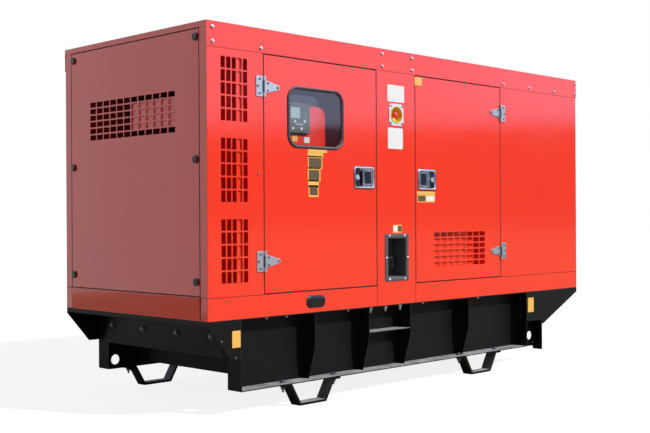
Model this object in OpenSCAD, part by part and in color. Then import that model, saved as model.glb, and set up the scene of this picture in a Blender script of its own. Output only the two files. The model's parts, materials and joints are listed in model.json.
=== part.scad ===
// Canopied diesel generator set on a folded steel base frame.
// Millimetres, +Z up. X runs along the length, the main doors face -Y.
// The origin is on the floor, under the middle of the set.

/* [Canopy] */
// Length of the canopy over its end frames
canopy_l = 2960; // [2860:10:3200]
// Width of the canopy over its side panels
canopy_w = 1130; // [1080:2:1260]
// Height of the canopy above the base frame
canopy_h = 1300; // [1280:2:1450]
// Thickness of the canopy's sheet steel
sheet_t = 2.5; // [2:0.5:3.5]
// Depth of the folded edges of the fixed panels
fold_d = 30; // [30:1:38]
// Height of the roof's skirt along the sides
skirt_h = 110; // [95:1:125]
// Height of the roof's lip over the ends
lip_h = 26; // [20:1:34]
// Height of the sill below the doors
sill_h = 100; // [95:1:112]

/* [Side layout] */
// Width of the vented panel beside door 1
vent_panel_w = 325; // [315:1:345]
// Width of each door opening
door_w = 764; // [740:2:800]
// Width of the post between the doors
post_w = 298; // [286:1:320]
// Gap round each door
door_gap = 5; // [5:0.5:7]
// Depth of the doors' folded edges
door_d = 24; // [22:0.5:24]
// Width of the sealing rim round each doorway
rim_w = 26; // [20:1:32]
// Thickness of the doorway frame
frame_t = 3; // [2:0.5:4]
// How far the doorway frame laps behind the panels beside it
frame_lap = 24; // [16:1:30]

/* [Vents] */
// Long pitch of the vent holes
vent_long = 57.5; // [54:0.5:60]
// Short pitch of the vent holes
vent_short = 32; // [30:0.5:34]
// Width of the bars between vent holes
vent_bar = 7.5; // [6:0.5:10]
// Distance of the side vents' centre line from the end
side_vent_x = 154; // [145:1:165]
// Height of the lowest side vent's centre above the base frame
side_vent_z = 301; // [290:1:312]
// Distance between the side vents, centre to centre
side_vent_step = 356; // [330:1:370]
// Height of the door vent's centre above the base frame
door_vent_z = 272; // [258:1:300]
// Height of the end vent's centre above the base frame
end_vent_z = 922; // [860:2:980]
// Distance of the baffles behind the side vents
baffle_d = 45; // [35:1:60]

/* [Ends] */
// Width of the corner posts seen on the ends
corner_w = 50; // [48:1:60]
// Height of the strip below each end panel
end_strip_h = 104; // [96:1:120]
// Depth of the end panels' folded edges
panel_d = 20; // [16:1:24]
// Gap round the end panels
panel_gap = 3; // [2:0.5:5]
// Radius of the end panels' knobs
knob_r = 17; // [14:0.5:20]
// Height of the knobs over the panel
knob_h = 18; // [14:1:22]
// Distance of the knobs from the panel's sides
knob_side = 22; // [20:0.5:30]
// Distance of the outer knobs from the panel's top
knob_top = 38; // [28:1:60]
// Distance of the outer knobs from the panel's bottom
knob_bottom = 62; // [40:1:80]

/* [Window] */
// Width of the window over its seal
window_w = 371; // [340:1:400]
// Height of the window over its seal
window_h = 285; // [260:1:310]
// Radius of the window's corners
window_r = 60; // [45:1:75]
// Distance of the window's centre from the door's hinge edge
window_x = 335; // [320:1:350]
// Height of the window's centre above the base frame
window_z = 915; // [880:1:935]
// Width of the window seal that laps onto the door
seal_lap = 6; // [4:0.5:8]
// Width of the window seal inside the cut-out
seal_w = 8; // [6:0.5:10]
// Height of the window seal over the door
seal_h = 3; // [2:0.5:4]
// Thickness of the glass
glass_t = 5; // [4:0.5:6]

/* [Hinges] */
// Height of the hinges' fixed leaves
hinge_h = 93; // [84:1:110]
// Width of the hinges' fixed leaves
hinge_leaf_w = 38; // [32:1:44]
// Length of the hinges' tapered leaves
hinge_arm_l = 90; // [80:1:110]
// Height of the tapered leaves at the barrel
hinge_arm_h = 55; // [46:1:64]
// Radius of the tapered leaves' round tips
hinge_tip_r = 11; // [9:0.5:14]
// Thickness of the hinge leaves
hinge_t = 4; // [3:0.5:5]
// Radius of the hinge barrels
barrel_r = 7; // [6:0.5:9]
// Radius of the hinge pins
hinge_pin_r = 3.5; // [3:0.25:4.5]
// Distance of the hinges from the door's top and bottom
hinge_inset = 145; // [120:1:180]

/* [Latches] */
// Width of the latch dishes
latch_w = 152; // [146:1:160]
// Height of the latch dishes
latch_h = 114; // [106:1:124]
// Distance of the latches' centres from the opening's edge
latch_edge = 95; // [92:1:110]
// Height of the latches' centres above the base frame
latch_z = 644; // [600:2:690]
// Depth of the latch dishes behind the door's face
latch_d = 17; // [15:0.5:18]
// Width of the dish's rim on the door
latch_rim = 9; // [7:0.5:12]
// Thickness of the dish's sheet
latch_t = 2; // [1.5:0.5:2.5]
// Width of the raised border round the paddle
handle_bar = 9; // [6:0.5:14]
// Thickness of the paddle
handle_t = 7; // [6:0.5:8]
// Depth of the pocket in the paddle's face
handle_pocket = 3; // [1.5:0.5:4]
// Radius of the lock cylinders
lock_r = 13; // [9:0.5:14]

/* [Post fittings] */
// Width and height of the emergency stop's plate
stop_w = 112; // [104:1:124]
// Height of the emergency stop above the base frame
stop_z = 971; // [930:1:1000]
// Outer radius of the emergency stop's cup
stop_cup_r = 43; // [38:1:48]
// Depth of the emergency stop's cup
stop_cup_d = 32; // [30:1:36]
// Radius of the emergency stop's mushroom head
stop_head_r = 20; // [17:0.5:23]
// Width of the filler recess over its frame
filler_w = 183; // [170:1:200]
// Height of the filler recess over its frame
filler_h = 242; // [220:1:260]
// Height of the filler recess's centre above the base frame
filler_z = 240; // [236:1:270]
// Width of the filler recess's frame
filler_rim = 20; // [14:0.5:24]
// Depth of the filler recess
filler_d = 95; // [85:1:110]
// Radius of the filler cap
cap_r = 35; // [28:1:38]

/* [Base frame] */
// Height of the base frame's beams
base_h = 324; // [300:2:360]
// Distance from the canopy's side to the beams' web
recess = 88; // [84:1:110]
// Thickness of the base frame's plates
plate_t = 5; // [4:0.5:7]
// Overhang of the canopy past the beams at the vented end
overhang_l = 186; // [170:1:200]
// Distance of the closing plate in front of the beams' ends
end_plate_out = 22; // [10:1:40]
// Distance of the first rib from the vented end
rib_1 = 645; // [560:5:700]
// Distance of the second rib, at the shelf's left side
rib_2 = 1024; // [940:5:1100]
// Distance of the third rib, at the shelf's right side
rib_3 = 1342; // [1240:5:1440]
// Distance of the fourth rib
rib_4 = 1841; // [1740:5:1940]
// Overhang of the canopy past the beams at the plain end
overhang_r = 357; // [330:1:390]
// Length of the beams' tails past their last cross rib
tail_l = 193; // [180:1:210]
// Depth of the corner wings below the canopy
wing_h = 176; // [160:1:190]
// Height of the rails under the canopy's ends
rail_h = 22; // [18:1:32]
// Width of the rails under the canopy's ends
rail_w = 30; // [24:1:40]
// Depth of the shelf below the canopy, between two ribs
shelf_z = 133; // [100:1:140]
// Depth of the ribs' straight upper part
rib_straight = 160; // [130:1:180]
// Set-back of the ribs' tips at the bottom flange
rib_tip = 46; // [35:1:60]
// Radius of the towing holes
tow_r = 26; // [20:0.5:28]
// Distance of the towing holes from the beams' ends
tow_end = 39; // [38:1:56]
// Height of the towing holes above the beams' bottom
tow_z = 47; // [40:1:60]
// Distance of the fuel tank from the canopy's vented end
tank_x = 340; // [300:2:400]
// Gap below the fuel tank
tank_gap = 38; // [10:1:60]

/* [Feet] */
// Height of the feet
foot_h = 110; // [95:1:130]
// Length of a foot on the floor
foot_floor_l = 174; // [150:2:200]
// Length of a foot between the tops of its legs
foot_top_l = 304; // [270:2:340]
// Length of a foot's bolting tabs
foot_tab = 34; // [28:1:44]
// Width of the feet's flat bar
foot_w = 60; // [50:1:70]
// Thickness of the feet's flat bar
foot_t = 12; // [8:0.5:14]
// Distance of the front left foot's middle from the vented end
foot_x1 = 646; // [560:2:700]
// Distance of the rear left foot's middle from the vented end
foot_x1_rear = 506; // [450:2:640]
// Distance of the right feet's middle from the vented end
foot_x2 = 1975; // [1880:5:2050]

/* [Engine bay] */
// Radius of the alternator's frame
alternator_r = 225; // [200:1:240]
// Height of the crankshaft above the deck
crank_z = 330; // [300:1:360]
// Length of the alternator's frame
alternator_l = 560; // [500:5:600]
// Distance of the alternator from the vented end
alternator_x = 640; // [600:5:680]
// Length of the engine block
block_l = 820; // [760:5:860]
// Width of the engine block
block_w = 300; // [260:2:340]
// Width of the radiator
radiator_w = 820; // [740:5:860]
// Height of the radiator
radiator_h = 900; // [800:5:1000]
// Thickness of the radiator's core
radiator_t = 90; // [70:1:110]

/* [Hidden] */
$fn = 48;

// Overshoot of cutting shapes past the faces they cut
cut = 1;
red = "#e0301e";
black = "#1b1c1e";
steel = "#b9bcc0";

// Levels above the floor
base_top = foot_h + base_h;

// Places along the length, from the vented end
door_1_x = vent_panel_w;
post_x = door_1_x + door_w;
door_2_x = post_x + post_w;
fixed_x = door_2_x + door_w;
post_mid = post_x + post_w / 2;

// The door leaves
leaf_w = door_w - 2 * door_gap;
leaf_z = sill_h + door_gap;
opening_h = canopy_h - skirt_h - sill_h;
leaf_h = opening_h - 2 * door_gap;
door_vent_cols = 8;
door_vent_rows = 6;

// The window's seal fills the cut-out in the door and holds the glass
cutout_w = window_w - 2 * seal_lap;
cutout_h = window_h - 2 * seal_lap;
cutout_r = window_r - seal_lap;
glass_w = cutout_w - 2 * seal_w;
glass_h = cutout_h - 2 * seal_w;
glass_r = cutout_r - seal_w;

// Hinges: the axis stands over the gap beside the door
hinge_gap = 1;
knuckle_h = (hinge_h - hinge_arm_h) / 2 - hinge_gap;
pin_gap = 0.3;
axis_y = -barrel_r;

// Latch handles, in a frame whose +X points at the door's free edge
latch_r = 16;
tub_w = latch_w - 2 * latch_rim;
tub_h = latch_h - 2 * latch_rim;
handle_gap = 6;
handle_x = -6;
handle_end = tub_w / 2 - latch_t - handle_gap;
handle_h = tub_h - 2 * latch_t - 2 * handle_gap;
handle_axis_x = handle_end - 6;
handle_axis_y = 5;
handle_pin_r = 2.5;
handle_knuckle_r = 5.5;
plinth_end = -30;
latch_face = 3;

// Emergency stop
stop_plate_t = 2;
stop_stem_r = 9;
stop_stem_gap = 1;
stop_cup_t = 2;
stop_travel = 6;

// Beams
beam_end = canopy_l - overhang_r;
rib_last_x = beam_end - tail_l;
rib_xs = [rib_1, rib_2, rib_3, rib_4];
bottom_z = -base_h;
end_plate_taper = 62;
deck_t = plate_t;

// Ends
end_open_w = canopy_w - 2 * corner_w;
end_open_h = canopy_h - lip_h - end_strip_h;
end_lip = 16;

// Engine line
engine_y = canopy_w / 2;
housing_l = 60;
engine_x = alternator_x + alternator_l + housing_l;
radiator_x = engine_x + block_l + 260;

// ---- Frames of reference ----

// Front side: X from the vented end, Y inwards from the face, Z from the base frame's top
module front() {
  translate([-canopy_l / 2, -canopy_w / 2, base_top]) children();
}

module rear() {
  mirror([0, 1, 0]) front() children();
}

// Vented end: X inwards from the end, Y across the middle, Z from the base frame's top
module left_end() {
  translate([-canopy_l / 2, 0, base_top]) children();
}

module right_end() {
  mirror([1, 0, 0]) left_end() children();
}

// ---- Shared shapes ----

module slab(low, high) {
  translate(low) cube(high - low);
}

// A flat outline drawn in X and Z, as a sheet from depth y inwards
module upright_sheet(y, t) {
  translate([0, y + t, 0]) rotate([90, 0, 0]) linear_extrude(t) children();
}

// A flat outline drawn in Y and Z, as a plate from x along the length
module cross_plate(x, t) {
  translate([x, 0, 0]) rotate([90, 0, 90]) linear_extrude(t) children();
}

module rounded(w, h, r) {
  square([w - 2 * r, h], center = true);
  square([w, h - 2 * r], center = true);
  for (x = [-1, 1], y = [-1, 1])
    translate([x * (w / 2 - r), y * (h / 2 - r)]) circle(r);
}

module vent_holes(cols, rows, pitch_x, pitch_y) {
  for (i = [0:cols - 1], j = [0:rows - 1])
    translate([(i - (cols - 1) / 2) * pitch_x, (j - (rows - 1) / 2) * pitch_y])
      square([pitch_x - vent_bar, pitch_y - vent_bar], center = true);
}

// A sheet with all four edges folded inwards; children are cut out of its face
module folded_panel(w, h, d) {
  difference() {
    cube([w, d, h]);
    translate([sheet_t, sheet_t, sheet_t])
      cube([w - 2 * sheet_t, d, h - 2 * sheet_t]);
    upright_sheet(-cut, sheet_t + 2 * cut) children();
  }
}

// ---- Base frame ----

// A rib is full depth above and tapers to its tip at the bottom flange
module rib_outline() {
  polygon([
    [0, -plate_t],
    [recess, -plate_t],
    [recess, bottom_z + plate_t],
    [rib_tip, bottom_z + plate_t],
    [0, -rib_straight]
  ]);
}

module web_outline() {
  corner = 18;
  difference() {
    union() {
      translate([overhang_l, bottom_z]) square([beam_end - overhang_l - corner, base_h]);
      translate([overhang_l, bottom_z + corner]) square([beam_end - overhang_l, base_h - corner]);
      translate([beam_end - corner, bottom_z + corner]) circle(corner);
    }
    for (x = [overhang_l + tow_end, beam_end - tow_end])
      translate([x, bottom_z + tow_z]) circle(tow_r);
  }
}

module base_beam() {
  round_r = 18;
  color(black) difference() {
    union() {
      upright_sheet(recess, plate_t) web_outline();
      slab([rail_w, 0, -plate_t], [canopy_l - rail_w, recess, 0]);
      slab([overhang_l, 0, bottom_z], [rib_last_x, recess, bottom_z + plate_t]);
      for (x = [overhang_l, rib_last_x - plate_t])
        slab([x, 0, bottom_z], [x + plate_t, recess, 0]);
      slab([beam_end - plate_t, rib_tip, bottom_z + round_r], [beam_end, recess, -wing_h]);
      for (x = rib_xs) cross_plate(x, plate_t) rib_outline();
      slab([rib_2, 0, -shelf_z], [rib_3, recess, -shelf_z + plate_t]);
    }
    for (hole = [[-41, 6], [-89, 11], [-141, 6]])
      translate([rib_last_x - plate_t - cut, recess * 0.45, hole[0]])
        rotate([0, 90, 0]) cylinder(r = hole[1], h = plate_t + 2 * cut);
  }
}

// Wing outline in X and Z: a sloping lower edge from the tip to the beam
module wing_outline(wing_l, slope_l) {
  tip = rail_h + 5;
  polygon([
    [rail_w, -plate_t],
    [rail_w, -rail_h],
    [0, -rail_h],
    [0, -tip],
    [slope_l, -wing_h],
    [wing_l, -wing_h],
    [wing_l, -plate_t]
  ]);
}

module base_end(overhang, wing_l, slope_l) {
  half = canopy_w / 2;
  inner = half - recess;
  color(black) {
    slab([0, -half, -rail_h], [rail_w, half, 0]);
    slab([rail_w, -inner, -plate_t], [overhang, inner, 0]);
    cross_plate(overhang - end_plate_out - plate_t, plate_t)
      polygon([
        [-inner, -wing_h - plate_t],
        [inner, -wing_h - plate_t],
        [inner - end_plate_taper, -plate_t],
        [end_plate_taper - inner, -plate_t]
      ]);
    for (side = [-1, 1])
      translate([0, side * (half - plate_t / 2) - plate_t / 2, 0])
        upright_sheet(0, plate_t) wing_outline(wing_l, slope_l);
  }
}

module fuel_tank() {
  half = canopy_w / 2 - recess - plate_t;
  color(black) translate([-canopy_l / 2, 0, base_top]) {
    slab([overhang_l, -half, -deck_t], [beam_end, half, 0]);
    slab([tank_x, -half, bottom_z + tank_gap], [rib_last_x, half, 0]);
  }
}

// ---- Feet ----

// A flat bar bent into a trapezium, open in the middle, with bolting tabs
module foot_outline() {
  rise = foot_h;
  low = foot_floor_l / 2;
  high = foot_top_l / 2;
  lean = (high - low) / rise;
  bar = foot_t * sqrt(1 + lean * lean);
  difference() {
    polygon([[-low, 0], [low, 0], [high, rise], [-high, rise]]);
    polygon([
      [-(low + lean * foot_t - bar), foot_t],
      [low + lean * foot_t - bar, foot_t],
      [high + lean * cut - bar, rise + cut],
      [-(high + lean * cut - bar), rise + cut]
    ]);
  }
  for (side = [0, 1])
    mirror([side, 0])
      translate([high - bar, rise - foot_t]) square([bar + foot_tab, foot_t]);
}

module feet(x1) {
  color(black)
    for (x = [x1, foot_x2])
      translate([x, 0, -base_top])
        upright_sheet((recess - foot_w) / 2, foot_w) foot_outline();
}

// ---- Fixed side panels ----

module sill(with_plug) {
  color(red) {
    translate([sheet_t, 0, 0])
      folded_panel(post_x - sheet_t, sill_h, fold_d)
        if (with_plug) translate([plug_x - sheet_t, sill_h / 2]) plug_outline(0);
    translate([door_2_x, 0, 0])
      folded_panel(canopy_l - sheet_t - door_2_x, sill_h, fold_d);
  }
}

// The cable entry in the sill is a stadium shape
plug_x = 652;
plug_w = 112;
plug_h = 46;
plug_lap = 7;

module plug_outline(grow) {
  rounded(plug_w + 2 * grow, plug_h + 2 * grow, plug_h / 2 + grow - 0.01);
}

module vent_panel() {
  color(red)
    translate([sheet_t, 0, sill_h])
      folded_panel(vent_panel_w - sheet_t, canopy_h - sheet_t - sill_h, fold_d)
        for (i = [0:2])
          translate([side_vent_x - sheet_t, side_vent_z + i * side_vent_step - sill_h])
            vent_holes(5, 5, vent_short, vent_long);
}

module fixed_panel() {
  color(red)
    translate([fixed_x, 0, sill_h])
      folded_panel(canopy_l - sheet_t - fixed_x, canopy_h - sheet_t - sill_h, fold_d);
}

// The front post carries the emergency stop and the filler recess
module post_cutouts(gap) {
  translate([post_w / 2, stop_z]) circle(stop_cup_r + gap);
  translate([post_w / 2, filler_z])
    square([filler_w - 2 * filler_rim + 2 * gap, filler_h - 2 * filler_rim + 2 * gap], center = true);
}

module centre_post(fitted) {
  color(red)
    translate([post_x, 0, 0])
      folded_panel(post_w, canopy_h - sheet_t, fold_d)
        if (fitted) post_cutouts(0.5);
}

// Inner frame that the doors close against
module door_frame(fitted) {
  low = sill_h - frame_lap;
  color(red)
    upright_sheet(fold_d, frame_t)
      difference() {
        translate([door_1_x - frame_lap, low])
          square([fixed_x - door_1_x + 2 * frame_lap, canopy_h - sheet_t - low]);
        for (x = [door_1_x, door_2_x])
          translate([x + rim_w, sill_h + rim_w])
            square([door_w - 2 * rim_w, opening_h - 2 * rim_w]);
        if (fitted) translate([post_x, 0]) post_cutouts(5);
      }
}

// Baffles stand behind the side vents, folded forwards to the panel's edges
module vent_baffle() {
  low = sill_h + 20;
  from = panel_d + 2 * sheet_t;
  w = vent_panel_w - frame_lap - sheet_t - from;
  color(red)
    translate([from, fold_d, low])
      difference() {
        cube([w, baffle_d, canopy_h - skirt_h - low]);
        translate([sheet_t, -cut, -cut])
          cube([w - 2 * sheet_t, baffle_d - sheet_t + cut, canopy_h]);
      }
}

// ---- Ends ----

module end_frame() {
  half = canopy_w / 2;
  depth = panel_d + sheet_t;
  mid_z = end_strip_h + end_open_h / 2;
  color(red) {
    cross_plate(0, sheet_t)
      difference() {
        translate([-half, 0]) square([canopy_w, canopy_h - sheet_t]);
        translate([0, mid_z]) square([end_open_w, end_open_h], center = true);
      }
    cross_plate(0, depth)
      difference() {
        translate([0, mid_z])
          square([end_open_w + 2 * sheet_t, end_open_h + 2 * sheet_t], center = true);
        translate([0, mid_z]) square([end_open_w, end_open_h], center = true);
      }
    cross_plate(panel_d, sheet_t)
      difference() {
        translate([0, mid_z]) square([end_open_w + sheet_t, end_open_h + sheet_t], center = true);
        translate([0, mid_z])
          square([end_open_w - 2 * end_lip, end_open_h - 2 * end_lip], center = true);
      }
  }
}

module end_panel() {
  w = end_open_w - 2 * panel_gap;
  h = end_open_h - 2 * panel_gap;
  z = end_strip_h + panel_gap;
  color(red)
    difference() {
      translate([0, -w / 2, z]) cube([panel_d, w, h]);
      translate([sheet_t, -w / 2 + sheet_t, z + sheet_t])
        cube([panel_d, w - 2 * sheet_t, h - 2 * sheet_t]);
      cross_plate(-cut, sheet_t + 2 * cut)
        translate([0, end_vent_z]) vent_holes(12, 6, vent_long, vent_short);
    }
}

module knob() {
  neck_r = knob_r * 0.6;
  color(black)
    rotate([0, -90, 0])
      rotate_extrude()
        polygon([
          [0, 0],
          [neck_r, 0],
          [neck_r, knob_h * 0.3],
          [knob_r, knob_h * 0.4],
          [knob_r, knob_h * 0.85],
          [knob_r * 0.88, knob_h],
          [0, knob_h]
        ]);
}

module knobs() {
  low = end_strip_h + panel_gap + knob_bottom;
  high = end_strip_h + end_open_h - panel_gap - knob_top;
  y = end_open_w / 2 - panel_gap - knob_side;
  for (side = [-1, 1], z = [low, (low + high) / 2, high])
    translate([0, side * y, z]) knob();
}

// ---- Roof ----

module roof() {
  color(red)
    translate([-canopy_l / 2, -canopy_w / 2, base_top + canopy_h - skirt_h])
      difference() {
        translate([-sheet_t, -sheet_t, 0])
          cube([canopy_l + 2 * sheet_t, canopy_w + 2 * sheet_t, skirt_h]);
        translate([0, 0, -cut]) cube([canopy_l, canopy_w, skirt_h - sheet_t + cut]);
        translate([-sheet_t - cut, 0, -cut])
          cube([canopy_l + 2 * sheet_t + 2 * cut, canopy_w, skirt_h - lip_h + cut]);
      }
}

// ---- Doors ----

// Cut-outs in a door's face, measured from the leaf's lower left corner.
// free_side is 1 where the free edge is on the right and -1 where it is on the left.
function latch_x(free_side) =
  free_side > 0 ? leaf_w + door_gap - latch_edge : latch_edge - door_gap;

module door_leaf(x, free_side) {
  color(red)
    translate([x + door_gap, 0, leaf_z])
      folded_panel(leaf_w, leaf_h, door_d) {
        translate([latch_x(free_side), latch_z - leaf_z])
          rounded(tub_w + 1, tub_h + 1, latch_r - latch_rim + 0.5);
        children();
      }
}

module door_vent() {
  translate([leaf_w / 2, door_vent_z - leaf_z])
    vent_holes(door_vent_cols, door_vent_rows, vent_long, vent_short);
}

module window_place() {
  translate([door_1_x + window_x, 0, window_z]) children();
}

module door_1_leaf() {
  door_leaf(door_1_x, 1)
    translate([window_x - door_gap, window_z - leaf_z]) rounded(cutout_w, cutout_h, cutout_r);
}

module door_2_leaf() {
  door_leaf(door_2_x, -1) door_vent();
}

module seal() {
  color(black) window_place() {
    difference() {
      union() {
        upright_sheet(-seal_h, seal_h) rounded(window_w, window_h, window_r);
        upright_sheet(-seal_h, seal_h + glass_t + sheet_t) rounded(cutout_w, cutout_h, cutout_r);
      }
      upright_sheet(-seal_h - cut, seal_h + glass_t + sheet_t + 2 * cut)
        rounded(glass_w, glass_h, glass_r);
    }
  }
}

module glass() {
  color("#7d8a90") window_place()
    upright_sheet(0, glass_t) rounded(glass_w, glass_h, glass_r);
}

// The air duct behind the door's vent is open above
module door_duct() {
  w = door_vent_cols * vent_long + 30;
  h = door_vent_rows * vent_short + 30;
  color(red)
    translate([door_2_x + door_gap + leaf_w / 2, sheet_t, door_vent_z])
      difference() {
        translate([-w / 2, 0, -h / 2]) cube([w, door_d - 2 * sheet_t, h]);
        translate([-w / 2 + sheet_t, -cut, -h / 2 + sheet_t])
          cube([w - 2 * sheet_t, door_d - 3 * sheet_t + cut, h]);
      }
}

// ---- Hinges ----

// Both hinge parts are drawn for a door to the right of the axis, with the axis at X = 0
module hinge_fixed() {
  from = -barrel_r - hinge_gap - hinge_leaf_w;
  top = hinge_h / 2;
  color(steel) {
    slab([from, -hinge_t, -top], [-barrel_r - hinge_gap, 0, top]);
    for (side = [-1, 1]) {
      z = side * (top - knuckle_h / 2);
      translate([0, 0, z])
        slab([from, -hinge_t, -knuckle_h / 2], [-barrel_r / 2, 0, knuckle_h / 2]);
      translate([0, axis_y, z - knuckle_h / 2]) cylinder(r = barrel_r, h = knuckle_h);
    }
    translate([0, axis_y, -top]) cylinder(r = hinge_pin_r, h = hinge_h);
  }
}

module hinge_arm() {
  half = hinge_arm_h / 2;
  from = barrel_r + hinge_gap;
  tip = barrel_r + hinge_arm_l - hinge_tip_r;
  color(steel)
    difference() {
      union() {
        upright_sheet(-hinge_t, hinge_t) {
          polygon([
            [barrel_r / 2, -half],
            [from + 12, -half],
            [tip, -hinge_tip_r],
            [tip, hinge_tip_r],
            [from + 12, half],
            [barrel_r / 2, half]
          ]);
          translate([tip, 0]) circle(hinge_tip_r);
        }
        translate([0, axis_y, -half]) cylinder(r = barrel_r, h = hinge_arm_h);
      }
      translate([0, axis_y, -half - cut])
        cylinder(r = hinge_pin_r + pin_gap, h = hinge_arm_h + 2 * cut);
    }
}

// The axes of door 1 and door 2, both over the gap on the hinge side
axis_1_x = door_1_x + door_gap / 2;
axis_2_x = fixed_x - door_gap / 2;
hinge_zs = [leaf_z + hinge_inset, leaf_z + leaf_h - hinge_inset];

module hinges_of(x, flip) {
  for (z = hinge_zs)
    translate([x, 0, z]) mirror([flip, 0, 0]) children();
}

// ---- Latches ----

module latch_place(door_x, free_side) {
  x = door_x + door_gap + latch_x(free_side);
  translate([x, 0, latch_z]) mirror([free_side > 0 ? 0 : 1, 0, 0]) children();
}

// A dish with a raised plinth for the lock, and a cross pin for the handle
module latch_dish() {
  plinth_d = 3;
  inner_w = tub_w - 2 * latch_t;
  inner_h = tub_h - 2 * latch_t;
  tub_r = latch_r - latch_rim;
  color(steel)
    difference() {
      union() {
        upright_sheet(-latch_face, latch_face) rounded(latch_w, latch_h, latch_r);
        upright_sheet(-latch_face, latch_face + latch_d) rounded(tub_w, tub_h, tub_r);
      }
      difference() {
        upright_sheet(-latch_face - cut, latch_face + latch_d - latch_t + cut)
          rounded(inner_w, inner_h, tub_r - latch_t);
        slab([-tub_w, plinth_d, -tub_h], [plinth_end, latch_d, tub_h]);
        translate([handle_axis_x, handle_axis_y, -tub_h / 2]) cylinder(r = handle_pin_r, h = tub_h);
        translate([(plinth_end - inner_w / 2) / 2, plinth_d, 0])
          rotate([90, 0, 0]) cylinder(r = lock_r, h = plinth_d + 2);
      }
    }
}

// A paddle that turns out on its pin, with a raised border round a pocket
module latch_handle() {
  half = handle_h / 2;
  face = -2;
  barrel = half - 8;
  color(steel)
    difference() {
      union() {
        slab([handle_x, face, -half], [handle_end, face + handle_t, half]);
        translate([handle_axis_x, handle_axis_y, -barrel])
          cylinder(r = handle_knuckle_r, h = 2 * barrel);
      }
      slab(
        [handle_x + handle_bar, face - cut, handle_bar - half],
        [handle_end - handle_bar, face + handle_pocket, half - handle_bar]
      );
      translate([handle_axis_x, handle_axis_y, -half - cut])
        cylinder(r = handle_pin_r + pin_gap, h = handle_h + 2 * cut);
    }
}

// ---- Post fittings ----

module stop_place() {
  translate([post_mid, 0, stop_z]) children();
}

module stop_cup() {
  depth = stop_cup_d;
  color("#e8c020") front() stop_place()
    difference() {
      union() {
        upright_sheet(-stop_plate_t, stop_plate_t) rounded(stop_w, stop_w, 20);
        rotate([-90, 0, 0]) cylinder(r = stop_cup_r, h = depth);
      }
      translate([0, -stop_plate_t - cut, 0])
        rotate([-90, 0, 0])
          cylinder(r = stop_cup_r - stop_cup_t, h = depth - stop_cup_t + stop_plate_t + cut);
      translate([0, -cut, 0])
        rotate([-90, 0, 0]) cylinder(r = stop_stem_r + stop_stem_gap, h = depth + 2 * cut);
    }
}

module stop_button() {
  face = -2;
  head = 13;
  stem = stop_cup_d + 12;
  color("#d01818") front() stop_place()
    translate([0, face, 0])
      rotate([-90, 0, 0])
        rotate_extrude()
          polygon([
            [0, 0],
            [stop_head_r * 0.7, 0],
            [stop_head_r * 0.93, head * 0.2],
            [stop_head_r, head * 0.5],
            [stop_head_r, head],
            [stop_stem_r, head],
            [stop_stem_r, stem],
            [0, stem]
          ]);
}

module filler_recess() {
  w = filler_w - 2 * filler_rim;
  h = filler_h - 2 * filler_rim;
  wall = 2;
  color("#55585c") front() translate([post_mid, 0, filler_z])
    difference() {
      union() {
        upright_sheet(-wall, wall) rounded(filler_w, filler_h, 12);
        slab([-w / 2, -wall, -h / 2], [w / 2, filler_d, h / 2]);
      }
      slab([wall - w / 2, -wall - cut, wall - h / 2], [w / 2 - wall, filler_d - wall, h / 2 - wall]);
    }
}

module filler_cap() {
  neck = 12;
  depth = 34;
  color(black) front() translate([post_mid + 28, filler_d - 2, filler_z - 30])
    rotate([90, 0, 0]) {
      cylinder(r = cap_r * 0.8, h = neck);
      translate([0, 0, neck]) cylinder(r = cap_r, h = depth - neck);
    }
}

module sill_plug() {
  lip = 4;
  color(black) front() translate([plug_x, 0, sill_h / 2]) {
    upright_sheet(-lip, lip) plug_outline(plug_lap);
    upright_sheet(0, 10) plug_outline(-0.5);
  }
}

// ---- Control cabinet ----

cabinet_x = 440;
cabinet_w = 470;
cabinet_y = 78;
cabinet_d = 190;
cabinet_z = 560;
cabinet_h = 570;
controller_w = 170;
controller_h = 140;
controller_t = 18;

module control_cabinet() {
  leg = 40;
  color(red) front() {
    translate([cabinet_x, cabinet_y, cabinet_z]) cube([cabinet_w, cabinet_d, cabinet_h]);
    for (x = [cabinet_x, cabinet_x + cabinet_w - leg])
      slab([x, cabinet_y + cabinet_d - leg, 0], [x + leg, cabinet_y + cabinet_d, cabinet_z]);
  }
}

module controller() {
  color("#3c3f44") front()
    translate([cabinet_x + 130, cabinet_y - controller_t, window_z - 60])
      cube([controller_w, controller_t, controller_h]);
}

// ---- Power train ----

module along_x(x, y, z, r, l) {
  translate([x, y, z]) rotate([0, 90, 0]) cylinder(r = r, h = l);
}

module alternator() {
  foot = 60;
  color("#30343a") front() {
    along_x(alternator_x, engine_y, crank_z, alternator_r, alternator_l);
    along_x(alternator_x - 50, engine_y, crank_z, alternator_r * 0.7, 50);
    for (x = [alternator_x + 60, alternator_x + alternator_l - 60 - foot])
      slab([x, engine_y - 190, 0], [x + foot, engine_y + 190, crank_z]);
    slab(
      [alternator_x + 120, engine_y - 130, crank_z + alternator_r - 20],
      [alternator_x + 440, engine_y + 130, crank_z + alternator_r + 120]
    );
  }
}

module engine() {
  half = block_w / 2;
  top = crank_z + 330;
  color("#6c7074") front() {
    along_x(engine_x - housing_l, engine_y, crank_z, alternator_r * 1.05, housing_l);
    slab([engine_x, engine_y - half, crank_z - 60], [engine_x + block_l, engine_y + half, top]);
    slab([engine_x + 40, engine_y - 120, crank_z - 220], [engine_x + block_l - 120, engine_y + 120, crank_z - 60]);
    slab([engine_x + 20, engine_y - 105, top], [engine_x + block_l - 20, engine_y + 105, top + 110]);
    for (x = [engine_x + 60, engine_x + block_l - 140], side = [-1, 1])
      slab(
        [x, engine_y + side * (half + 40) - 50, 0],
        [x + 80, engine_y + side * (half + 40) + 50, crank_z - 20]
      );
    along_x(engine_x + block_l, engine_y, crank_z, 110, 40);
    along_x(engine_x + block_l, engine_y, crank_z + 200, 60, 110);
    along_x(engine_x + block_l + 70, engine_y, crank_z + 200, 300, 30);
  }
}

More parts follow.
